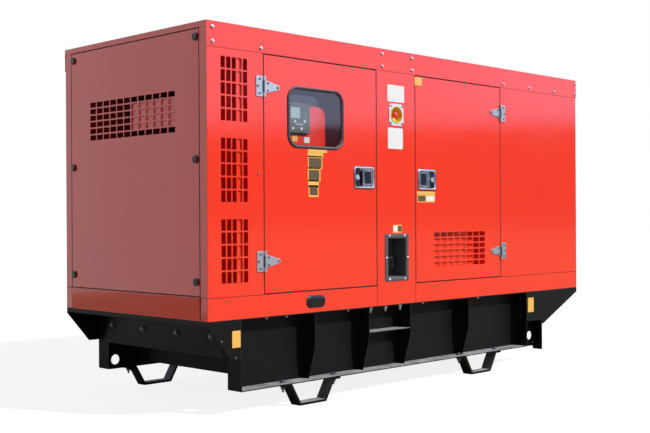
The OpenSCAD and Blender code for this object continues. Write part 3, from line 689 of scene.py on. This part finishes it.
def hex_bolt(across, tall, washer):
    """A hexagon head, measured across its flats, with a chamfered top and a washer."""
    bm = bmesh.new()
    washer_t, corner, chamfer = washer * 0.16, across * 0.577, tall * 0.14
    bmesh.ops.create_cone(
        bm, cap_ends=True, segments=6, radius1=corner * MM, radius2=corner * MM,
        depth=tall * MM, matrix=Matrix.Translation((0, 0, (washer_t + tall / 2) * MM)),
    )
    bmesh.ops.bevel(
        bm, geom=topmost(bm).edges[:], offset=chamfer * MM, segments=1,
        profile=0.5, affect="EDGES", material=-1,
    )
    bmesh.ops.create_cone(
        bm, cap_ends=True, segments=16, radius1=washer / 2 * MM, radius2=washer / 2 * 0.94 * MM,
        depth=washer_t * MM, matrix=Matrix.Translation((0, 0, washer_t / 2 * MM)),
    )
    return bm


def pan_screw(diameter, tall):
    """A round head with a socket in its crown."""
    bm = turned([
        (diameter / 2, 0), (diameter / 2, tall * 0.3),
        (diameter * 0.42, tall * 0.75), (diameter * 0.24, tall),
    ], 12)
    rim = [e for e in bm.edges if e.is_boundary and e.verts[0].co.z > tall * 0.9 * MM]
    lid = bmesh.ops.contextual_create(bm, geom=rim)["faces"][0]
    step_in(bm, lid, diameter * 0.05, 0)
    step_in(bm, lid, 0.05, -tall * 0.5)
    floor_rim = [e for e in bm.edges if e.is_boundary]
    bmesh.ops.contextual_create(bm, geom=floor_rim)
    bmesh.ops.recalc_face_normals(bm, faces=bm.faces)
    return bm


roof_bolt = hex_bolt(12, 6, 17)
frame_bolt = hex_bolt(19, 8, 30)
small_screw = pan_screw(11, 4.5)
print("fastener patterns ready")

# %% [markdown]
# ## Bolts of the roof
#
# The roof is one folded tray held by bolts through its skirt, in pairs near
# the corners and beside the doors. They stand on both long sides, so the row
# is stamped once on the front and mirrored. One small screw sits in the panel
# on either side of the doors.

# %% Roof bolts
skirt_high, skirt_low = 1274, 1211
skirt_out = (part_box("roof")[0].y - face_y) / MM
roof_bolts = (
    (30, 2), (310, 1), (1129, 2), (1362, 2), (2176, 1), (2440, 1), (2708, 1), (length - 12, 2),
)
bm = bmesh.new()
for x, count in roof_bolts:
    for z in (skirt_low, skirt_high)[:count]:
        stamp(bm, roof_bolt, place_on(x, skirt_out, z))
mirrored(bm, 1)
piece("roof_bolts", bm, bright_bolt)

# %% Panel screws
panel_screws = ((293, 644), (2213, 645))
bm = stamped(small_screw, *(place_on(x, 0, z) for x, z in panel_screws))
mirrored(bm, 1)
piece("panel_screws", bm, dark_steel)

# %% [markdown]
# ## Bolts of the base frame
#
# Under the canopy's edge, short bolts hang from the top flange of each long
# beam, with three longer ones over the shelf. A long bolt is a short one with
# its shank added.

# %% Hanging bolts
shank_r, shank_l, shank_middle = 5, 16, 20
long_bolt = hex_bolt(19, 10, 28)
bmesh.ops.create_cone(
    long_bolt, cap_ends=True, segments=12, radius1=shank_r * MM, radius2=shank_r * MM,
    depth=shank_l * MM, matrix=Matrix.Translation((0, 0, shank_middle * MM)),
)
flange_z = -5
bm = bmesh.new()
for x in (357, 481, 896, 1470, 1954):
    stamp(bm, roof_bolt, place_on(x, 22, flange_z, "down"))
for x in (1068, 1180, 1294):
    stamp(bm, long_bolt, place_on(x, 30, flange_z, "down"))
mirrored(bm, 1)
piece("flange_bolts", bm, bright_bolt)

# %% [markdown]
# ## Plug and lower edges
#
# A domed rubber plug closes the slot in the sill: it is one rounded face,
# raised and then stepped in five times, less steeply each time. At the plain
# end the beam's tail and the wing above it have folded lower edges, which are
# flat sheets here.

# %% Domed plug of the sill
plug_x, plug_z, plug_w, plug_h = front_view("sill_plug")
dome_steps = ((1.5, 1.6), (3, 1.5), (6, 1.4), (8, 0.8), (8, 0.3))
dome = rounded_face(plug_w, plug_h, plug_h / 2 - 1, 10)
top = raise_face(dome, 1.5)
for across, height in dome_steps:
    step_in(dome, top, across, height)
bm = stamped(dome, place_on(plug_x, 0, plug_z))
piece("sill_plug_dome", bm, pocket_black, smooth=60, replaces=("sill_plug",))

# %% Lower edges of the plain end
def sheet(outline, thick):
    """A flat sheet cut to an outline of (x, z) points, which looks to the front."""
    bm = bmesh.new()
    bm.faces.new([bm.verts.new((x * MM, z * MM, 0)) for x, z in outline])
    raise_face(bm, thick)
    return bm


beam_back, beam_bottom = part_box("base_beam_front")[1].y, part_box("base_beam_front")[0].z
web_t, edge_r = 5, 6
web_y = (beam_back - face_y) / MM - web_t
beam_low = (beam_bottom - deck_z) / MM
tail_from, tail_to, tail_low = 2410, 2603, beam_low - 36
tail_l, tail_middle = tail_to - tail_from, (tail_from + tail_to) / 2
wing_low, toe_low, return_in = -176, -200, 22
tail_edge = plate(tail_l, 20, edge_r, web_t)
bm = stamped(tail_edge, place_on(tail_middle, web_y + web_t, beam_low - 8))
tall, across = wing_low - tail_low, web_y - return_in
tail_return = plate(across, tall, edge_r, web_t)
stamp(bm, tail_return, place_on(tail_to, web_y - across / 2, tail_low + tall / 2, "left"))
toe = [
    (2584, toe_low), (2955, -29.5), (2955, -20),
    (2600, wing_low + 10), (2559, wing_low + 2), (2559, toe_low),
]
stamp(bm, sheet(toe, 4.6), place_on(0, 4.8, 0))
mirrored(bm, 1)
piece("tail_edges", bm, black_paint)

# %% [markdown]
# ## Bolts of the feet and of the end
#
# The feet hang on bolts through the bottom flange, with a nut's hexagon over
# it and the bolt's end under it. The cross plate at the vented end is bolted
# to the deck, and two small screws sit in the wing beside it.

# %% Foot bolts
foot_h, bolt_in, bolt_out = 110, 44, 168
foot_top = foot_h - deck_z / MM
bm = bmesh.new()
for y, foot_xs in ((bolt_in, (646, 1975)), (width - bolt_in, (506, 1975))):
    for foot_x in foot_xs:
        for x in (foot_x - bolt_out, foot_x + bolt_out):
            stamp(bm, long_bolt, place_on(x, y, foot_top - 12, "down"))
            stamp(bm, frame_bolt, place_on(x, y, foot_top + 5, "up"))
piece("foot_bolts", bm, dark_steel)

# %% End plate bolts
plate_x, plate_bolt_z = 159, -88
wing_screws = ((74, -91), (153, -170))
bm = bmesh.new()
for y in (172, 430, 699, 957):
    stamp(bm, frame_bolt, place_on(plate_x, y, plate_bolt_z, "left"))
for x, z in wing_screws:
    stamp(bm, small_screw, place_on(x, 0, z))
piece("end_plate_bolts", bm, dark_steel)

# %% [markdown]
# ## Knobs of the end panels
#
# Each end panel hangs on six quarter-turn knobs. One is turned from its
# profile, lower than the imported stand-in, and stamped over all six places
# of both ends.

# %% Panel knobs
knob = turned([
    (10, -4), (10, 2.0), (16, 2.4), (17, 4.0), (17, 7.6), (15.4, 9.0), (6, 9.2), (0, 8.6),
], 28)
knob_in, knob_zs = 75, (169, 702.5, 1236)
knob_ys = (knob_in, width - knob_in)
bm = stamped(knob, *(place_on(0, y, z, "left") for y in knob_ys for z in knob_zs))
mirrored(bm, 0)
piece("panel_knobs", bm, black_plastic, replaces=("end_knobs",))

# %% [markdown]
# ## Behind the grilles
#
# Air is drawn in round a baffle, so nothing bright lies straight behind a
# grille: the box behind the side grilles is deep, and the light that falls
# through the slots lands out of sight. A flat stay runs close behind the
# fourth column of slots, a blank closes the middle of the end grille, and a
# tray sits behind the door's grille, part of it closed by a nearer blank.

# %% Trays, stays and blanks
def tray(w, h, depth, wall=2.0):
    """A box of sheet, open at its face, which looks up; it reaches down from there."""
    bm = bmesh.new()
    bmesh.ops.create_cube(bm, size=1.0)
    bmesh.ops.scale(bm, verts=bm.verts, vec=(w * MM, h * MM, depth * MM))
    bmesh.ops.translate(bm, verts=bm.verts, vec=(0, 0, -depth / 2 * MM))
    bmesh.ops.delete(bm, geom=[topmost(bm)], context="FACES")
    bmesh.ops.solidify(bm, geom=bm.faces[:], thickness=wall * MM)
    bmesh.ops.recalc_face_normals(bm, faces=bm.faces)
    return bm


grille_zs = (301, 657, 1013)
baffle_w, baffle_h, baffle_depth = 270, 1064, 122
bm = stamped(tray(baffle_w, baffle_h, baffle_depth), place_on(162, 31, 656))
mirrored(bm, 1)
piece("baffle_boxes", bm, red_paint, replaces=("vent_baffles",))

bm = stamped(plate(32, 300, 2, 2), *(place_on(186, 11, z) for z in grille_zs))
mirrored(bm, 1)
piece("grille_stays", bm, red_paint)

# %% Tray of the door's grille
vent_x, vent_z, _, _ = front_view("door_vent_duct")
slot_long, slot_tall, cols, rows = 57.5, 32, 8, 6
blank_cols, blank_rows = 5, 5
vent_tray = tray(cols * slot_long + 12, rows * slot_tall + 12, 62)
bm = stamped(vent_tray, place_on(vent_x, 3, vent_z))
blank = plate(blank_cols * slot_long, blank_rows * slot_tall, 0, 2)
blank_x = vent_x - (cols - blank_cols) / 2 * slot_long
blank_z = vent_z - (rows - blank_rows) / 2 * slot_tall
stamp(bm, blank, place_on(blank_x, 15, blank_z))
piece("door_vent_tray", bm, red_paint, "right_door", replaces=("door_vent_duct",))

# %% Blank of the end grille
bm = stamped(plate(340, 128, 3, 2), place_on(9, 396, 922, "left"))
piece("end_grille_blank", bm, red_paint)

# %% [markdown]
# ## Hinge screws and sleeves
#
# Each hinge is a plain leaf on the canopy and a long tapered leaf on the
# door, held by three screws each. Screws in the tapered leaf swing with the
# door, so they are pieces of their own that ride on it. A thin dark sleeve
# covers the part of the barrel that belongs to the door.

# %% Where the hinges are
leaves_low, leaves_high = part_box("hinge_leaves")
hinge_half = 46.5
hinge_zs = (
    (leaves_low.z - deck_z) / MM + hinge_half,
    (leaves_high.z - deck_z) / MM - hinge_half,
)
leaf_spots = [(-27, 32), (-27, -32), (-37, 0)]
arm_spots = [(24, 17), (24, -17), (84, 0)]
axis_left, axis_right = 327.5, 2148.5
print("hinges at", [round(z, 1) for z in hinge_zs])


# %% Screws of the hinges
def hinge_screws(spots, axis, flip):
    """Screws at (x, z) spots from a hinge's axis; flip is for a door on its other side."""
    bm = bmesh.new()
    for z in hinge_zs:
        for dx, dz in spots:
            stamp(bm, small_screw, place_on(axis + (-dx if flip else dx), -4, z + dz))
    return bm


bm = hinge_screws(leaf_spots, axis_left, False)
stamp(bm, hinge_screws(leaf_spots, axis_right, True), Matrix.Identity(4))
stamp(bm, bm.copy(), Matrix.Scale(-1, 4, (0, 1, 0)))
piece("hinge_leaf_screws", bm, dark_steel)
for door, axis, flip in (("left_door", axis_left, False), ("right_door", axis_right, True)):
    bm = hinge_screws(arm_spots, axis, flip)
    piece("hinge_screws_" + door, bm, dark_steel, door)
bm = hinge_screws(arm_spots, axis_left, False)
stamp(bm, hinge_screws(arm_spots, axis_right, True), Matrix.Identity(4))
bmesh.ops.scale(bm, verts=bm.verts, vec=(1, -1, 1))
bmesh.ops.reverse_faces(bm, faces=bm.faces)
piece("hinge_screws_rear_doors", bm, dark_steel)

# %% Sleeves of the door's hinges
sleeve_half, sleeve_r, sleeve_y = 27, 7.45, -6.5
sleeve = turned([
    (5, -sleeve_half), (sleeve_r, -sleeve_half), (sleeve_r, sleeve_half), (5, sleeve_half),
    (5, -sleeve_half),
], 36)
for door, axis in (("left_door", axis_left), ("right_door", axis_right)):
    bm = stamped(sleeve, *(place_on(axis, sleeve_y, z, "up") for z in hinge_zs))
    piece("hinge_sleeves_" + door, bm, dark_steel, door)

# %% [markdown]
# ## Window seal
#
# The pane sits in a black rubber profile that locks over the edge of the
# cut-out. Its outside is a soft bead, and a grey filler strip runs along its
# crest. A rounded face is raised, then stepped in, first upwards and then
# down again, and the middle is cut away, which leaves a ring with that
# section.

# %% Seal bead
window_x, window_z, window_w, window_h = front_view("window_seal")


def ring(w, h, r, steps, seat=2.0):
    """A closed ring whose section steps inwards by (across, height) pairs."""
    bm = rounded_face(w, h, r, 10)
    top = raise_face(bm, seat)
    back = min(bm.faces, key=lambda f: f.calc_center_median().z)
    for across, height in steps:
        step_in(bm, top, across, height)
    bmesh.ops.delete(bm, geom=[top, back], context="FACES")
    return bm


bead_section = [
    (1.2, 2.4), (2.2, 1.6), (2.8, 0.4), (3.2, -0.8), (2.2, -1.8), (1.4, -2.6), (0.2, -1.0),
]
on_window = place_on(window_x, -1.2, window_z)
bm = stamped(ring(window_w + 2, window_h + 2, 61, bead_section), on_window)
piece("window_bead", bm, rubber, "left_door", smooth=60)
strip = ring(window_w - 5, window_h - 5, 57.5, [(0.8, 1.2), (1.6, 0.2), (0.8, -1.2)], 4.0)
bm = stamped(strip, on_window)
piece("window_lock_strip", bm, grey_bead, "left_door", smooth=60)

# %% [markdown]
# ## Latches
#
# A flush latch is a polished tub with a raised rim. The rim catches the
# light on its bevels, the paddle holds a dark pad, and a key cylinder sits
# on the plinth at the other side. The second latch is the first one seen in
# a mirror, so one function makes both.

# %% Latch rim, pad and lock
latch_rim = ring(146, 108, 14, [(2.2, 2.6), (3.4, 0.2), (4.4, -5.0)], 1.0)
latch_gasket = ring(152, 114, 16, [(1.4, 0.8), (2.4, 0.0)], 1.0)
lock_plinth = plate(34, 92, 4, 1.0, 0.3)
paddle_pad = plate(44, 68, 5, 2.2, 0.8)
lock_barrel = turned([
    (0.01, 0), (12.4, 0), (12.4, 5.5), (11.2, 7.0), (8.2, 7.2), (7.4, 6.2), (0.01, 6.2),
], 28)
stamp(lock_barrel, plate(2.4, 9, 0.8, 0.9, 0.2), Matrix.Translation((0, 0, 6.0 * MM)))


def latch_set(name, x, z, flip, door, paddle):
    """Four pieces of one latch, round the middle of its dish."""
    turn = Matrix.Scale(-1, 4, (1, 0, 0)) if flip else Matrix.Identity(4)

    def spot(dx, dz):
        return place_on(x, 0, z) @ turn @ Matrix.Translation((dx * MM, 0, dz * MM))

    rim = stamped(latch_rim, spot(0, 2.4))
    piece(name + "_rim", rim, chrome, door, smooth=25)
    gasket = stamped(latch_gasket, spot(0, 2.4))
    stamp(gasket, lock_plinth, spot(-46.5, -3))
    piece(name + "_gasket", gasket, pocket_black, door)
    piece(name + "_lock", stamped(lock_barrel, spot(-47.5, -3)), zinc, door)
    pad = stamped(paddle_pad, spot(26.5, -1.2))
    piece(name + "_pad", pad, pocket_black, paddle)


latch_z = 644
latch_set("latch_left", 994, latch_z, False, "left_door", "left_paddle")
latch_set("latch_right", 1482, latch_z, True, "right_door", "right_paddle")

# %% [markdown]
# ## Emergency stop
#
# A pale plate carries a yellow bowl, and in it a red mushroom head that is
# pushed in to stop the engine. The head is turned on a lathe from its
# profile, the bowl's lip likewise, and four small screws hold the plate.

# %% Plate of the stop
def holed_plate(w, r, hole_r, thick, steps=9):
    """A square plate with rounded corners and a round hole, bridged loop to loop."""
    bm = rounded_face(w, w, r, steps)
    rim = bm.edges[:]
    bmesh.ops.delete(bm, geom=bm.faces[:], context="FACES_ONLY")
    made = bmesh.ops.create_circle(bm, segments=len(rim), radius=hole_r * MM)
    inner = list({e for v in made["verts"] for e in v.link_edges})
    bmesh.ops.bridge_loops(bm, edges=rim + inner)
    bmesh.ops.recalc_face_normals(bm, faces=bm.faces)
    if bm.faces[:][0].normal.z < 0:
        bmesh.ops.reverse_faces(bm, faces=bm.faces)
    lifted(bm, bm.faces[:], thick)
    return bm


stop_x, stop_z, _, _ = front_view("stop_button")
bm = stamped(holed_plate(112, 24, 44, 3.0), place_on(stop_x, 0, stop_z))
piece("stop_plate", bm, pale_steel, replaces=("stop_cup",))

# %% Bowl and head of the stop
on_stop = place_on(stop_x, -2.0, stop_z)
bowl = turned([
    (44.5, 0), (44.5, 3.0), (43.0, 4.2), (40.5, 3.6),
    (38.5, -2), (36.5, -18), (35, -28), (10.5, -29.5),
], 48)
bm = stamped(bowl, on_stop)
piece("stop_bowl_lip", bm, yellow_plastic, smooth=50)

mushroom = turned([
    (8.5, -42), (8.5, -14), (15.5, -13.5), (17.0, -11), (17.2, -5),
    (16.0, -1.5), (13.5, 0.6), (8.0, 1.6), (0.0, 1.8),
], 40)
bm = stamped(mushroom, on_stop)
piece(
    "stop_head_cap", bm, red_plastic, "stop_head", smooth=50,
    replaces=("stop_button",),
)

# %% Screws of the stop
corners = (-44, 44)
bm = stamped(small_screw, *(
    place_on(stop_x + dx, -2.6, stop_z + dz) for dx in corners for dz in corners
))
piece("stop_screws", bm, dark_steel)

# %% [markdown]
# ## Filler recess
#
# The fuel cap sits at the back of a grey painted box. Its frame is held by
# six bright screws, and the cap is a round, gripped plastic knob: a turned
# solid whose rim faces are inset in turn to leave flutes.

# %% Filler frame and its screws
recess_x, recess_z, recess_w, recess_h = front_view("filler_recess")
surround = ring(recess_w, recess_h, 12, [(1.5, 1.6), (14.0, 0.2), (2.0, -1.6)], 1.4)
bm = stamped(surround, place_on(recess_x, -1.0, recess_z))
piece("filler_frame", bm, grey_paint)

frame_screw, from_edge, from_corner = pan_screw(13, 5), 10, 22
edge_x, edge_z = recess_w / 2 - from_edge, recess_h / 2 - from_edge
bm = bmesh.new()
for dx in (-1, 1):
    for dz in (-1, 0, 1):
        x = recess_x + dx * (edge_x if dz == 0 else edge_x - from_corner)
        stamp(bm, frame_screw, place_on(x, -3, recess_z + dz * edge_z))
piece("filler_screws", bm, bright_bolt)

# %% Filler cap
cap_x, cap_z, _, _ = front_view("filler_cap")
cap_front = (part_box("filler_cap")[0].y - face_y) / MM
grip_r = 33
grip = turned([
    (27, -33), (27, -21), (34, -21), (34.6, -19), (34.6, -4), (32, -1), (24, 0), (20, -2), (0, -2),
], 40)
upright = [f for f in grip.faces if abs(f.normal.z) < 0.05]
sides = [f for f in upright if f.calc_center_median().xy.length > grip_r * MM]
bmesh.ops.inset_individual(
    grip, faces=sides[::2], thickness=0.6 * MM, depth=-1.6 * MM, use_even_offset=True,
)
stamp(grip, plate(12, 44, 5, 7, 1.5), Matrix.Translation((0, 0, -3 * MM)))
bm = stamped(grip, place_on(cap_x, cap_front, cap_z))
piece("filler_cap_grip", bm, black_plastic, replaces=("filler_cap",))

# %% [markdown]
# ## Labels
#
# The labels stay bare: white or yellow plates, some with a darker or paler
# field, with no words and no signs on them. Each is a thin plate with rounded
# corners, and its field is a second plate that stands a hair higher.

# %% Bare labels of the post and the base
plate_t, field_t = 0.7, 1.0


def labels(name, places, material, body="canopy_and_base", thick=plate_t, y=0.0):
    """Bare plates on the front, one for each (x, z, width, height)."""
    bm = bmesh.new()
    for x, z, w, h in places:
        corner = min(w, h) * 0.06
        stamp(bm, plate(w, h, corner, thick, 0.2), place_on(x, y, z))
    piece(name, bm, material, body)


labels("post_labels", [(1237, 1080, 130, 86), (1232, 850, 116, 108)], label_white)
labels(
    "post_label_rims", [(1244, 387, 70, 40), (2450, -80, 60, 86), (159, -87, 48, 74)],
    label_yellow,
)
labels("post_label_fields", [(1228, 387, 30, 30)], label_white, thick=field_t)
labels("post_label_darks", [(1262, 387, 30, 30)], label_dark, thick=field_t)

# %% Bare labels of the doors
labels("door_labels_left", [
    (668, 762, 128, 14), (655, 744, 104, 24), (652, 708, 96, 62),
    (645, 650, 84, 66), (641, 606, 72, 36), (641, 572, 66, 56),
], label_yellow, "left_door")
labels("door_label_fields_left", [
    (652, 706, 84, 46), (645, 648, 70, 48), (641, 572, 52, 40),
], label_dark, "left_door", field_t)
labels("door_labels_right", [
    (1477, 573, 150, 16), (1477, 544, 146, 40), (1417, 1159, 58, 42),
], label_yellow, "right_door")
labels("door_label_fields_right", [(1440, 544, 62, 30)], label_dark, "right_door", field_t)
labels("door_label_whites_right", [(1512, 544, 66, 26)], label_white, "right_door", field_t)

# %% [markdown]
# ## Control panel behind the window
#
# The controller is a dark case with a pale screen, four round keys and small
# green lamps. It is seen through the pane, so its relief is real: the case,
# screen and keys stand at their own heights. Two labels sit under it.

# %% Case
cabinet_y = (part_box("control_cabinet")[0].y - face_y) / MM
case_y = (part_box("controller")[1].y - face_y) / MM
case_x, case_z = 595, 921
case_w, case_h, case_t = 166, 149, 18
bm = stamped(plate(case_w, case_h, 8, case_t, 2.5), place_on(case_x, case_y, case_z))
piece("controller_case", bm, controller_case, replaces=("controller",))

# %% Screen, keys and lamps
case_front = case_y - case_t
pale_screen = finish("screen", (0.42, 0.56, 0.54), 0.15, tone=0.15, bump=0.00002)
bm = stamped(plate(60, 52, 3, 1.5, 0.5), place_on(case_x - 16, case_front, case_z + 22))
piece("controller_screen", bm, pale_screen)

key_white = finish("key_white", (0.75, 0.76, 0.76), 0.4, tone=0.05)
round_key = turned([(7.5, 0), (7.5, 2.2), (6.2, 3.2), (0, 3.4)], 16)
key_spots = ((-19, -19), (44, -17), (-31, -53), (24, -53))
bm = stamped(round_key, *(place_on(case_x + dx, case_front, case_z + dz) for dx, dz in key_spots))
stamp(bm, plate(44, 3, 1, 1.0, 0.3), place_on(case_x + 12, case_front, case_z - 32))
piece("controller_keys", bm, key_white)

lamp_green = finish("lamp_green", (0.10, 0.5, 0.16), 0.2)
small_lamp = turned([(4, 0), (4, 2), (2.4, 3), (0, 3.2)], 12)
lamp_x, lamp_zs = case_x + 53, (44, 26, 8, -53, -42)
bm = stamped(small_lamp, *(place_on(lamp_x, case_front, case_z + dz) for dz in lamp_zs))
piece("controller_lamps", bm, lamp_green)

labels("cabinet_label_yellow", [(592, 825, 34, 34)], label_yellow, y=cabinet_y)
labels("cabinet_label_white", [(672, 819, 36, 28)], label_white, y=cabinet_y)

# %% [markdown]
# ## Seams and strips
#
# Folded panels meet in narrow gaps, and every gap reads as a dark line of
# shade. That shade is painted: a seam here is a thin, nearly black band laid
# over the gap, a ring round each door and each end panel, and straight ones
# along the sills and the corners. Under an end panel the closing strip leans
# a little, so that it mirrors the ground.

# %% Seams of the long sides
seam_out, seam_w = 0.3, 2.4


def seam_ring(w, h, wide):
    return ring(w + 1, h + 1, 0, [(wide + 1, 0.0)], seam_out)


def seam_line(w, h):
    return plate(w, h, 0, seam_out, 0.1)


sill_top, door_gap = 100, 5
bm = bmesh.new()
for door in ("door_left", "door_right"):
    x, z, w, h = front_view(door)
    stamp(bm, seam_ring(w + 2 * door_gap, h + 2 * door_gap, door_gap), place_on(x, 0, z))
for start, stop in ((0, 325), (2151, length)):
    stamp(bm, seam_line(stop - start, seam_w), place_on((start + stop) / 2, 0, sill_top))
for x in (1089, 1387):
    stamp(bm, seam_line(seam_w, sill_top), place_on(x, 0, sill_top / 2))
mirrored(bm, 1)
piece("door_seams", bm, painted_gap_shade)

# %% Seams of the ends
strip_top, panel_top, panel_w, corner_w = 104, 1274, 1030, 50
panel_seam = seam_ring(panel_w, panel_top - strip_top, 4)
bm = stamped(panel_seam, place_on(0, width / 2, (strip_top + panel_top) / 2, "left"))
for flat_y, upright_y in ((corner_w / 2, corner_w), (width - corner_w / 2, width - corner_w)):
    stamp(bm, seam_line(corner_w, seam_w), place_on(0, flat_y, strip_top - 1, "left"))
    stamp(bm, seam_line(seam_w, strip_top), place_on(0, upright_y, strip_top / 2, "left"))
mirrored(bm, 0)
piece("end_seams", bm, painted_gap_shade)

# %% Leaning strip under each end panel
lean = turned_by(2.6, "X")
bm = stamped(plate(1026, 98, 1, 4.0, 0.4), place_on(0, width / 2, 52, "left") @ lean)
mirrored(bm, 0)
piece("end_strips", bm, red_paint)

# %% [markdown]
# ## Linings
#
# The inside of each door carries sound-absorbing foam, in slabs that leave
# the window, the grille and the latch free. It is seen when a door stands
# open, and two insets of its squares give it a quilted face.

# %% Foam inside the doors
foam_t, quilt_in = 9, 7


def foam_slab(w, h, cols, rows):
    """A slab with a grid of cols by rows quilted squares on its face."""
    bm = bmesh.new()
    bmesh.ops.create_grid(bm, x_segments=cols, y_segments=rows, size=0.5)
    bmesh.ops.scale(bm, verts=bm.verts, vec=(w * MM, h * MM, 1))
    lifted(bm, bm.faces[:], foam_t)
    tops = [f for f in bm.faces if f.normal.z > 0.9]
    for depth in (3, 2):
        bmesh.ops.inset_individual(
            bm, faces=tops, thickness=quilt_in * MM, depth=depth * MM, use_even_offset=True,
        )
    return bm


inwards = turned_by(180, "X")
bm = stamped(foam_slab(660, 300, 7, 3), place_on(707, 3, 330) @ inwards)
stamp(bm, foam_slab(470, 220, 5, 2), place_on(612, 3, 636) @ inwards)
piece("door_lining_left", bm, foam_lining, "left_door")
bm = stamped(foam_slab(660, 460, 7, 5), place_on(1769, 3, 940) @ inwards)
piece("door_lining_right", bm, foam_lining, "right_door")
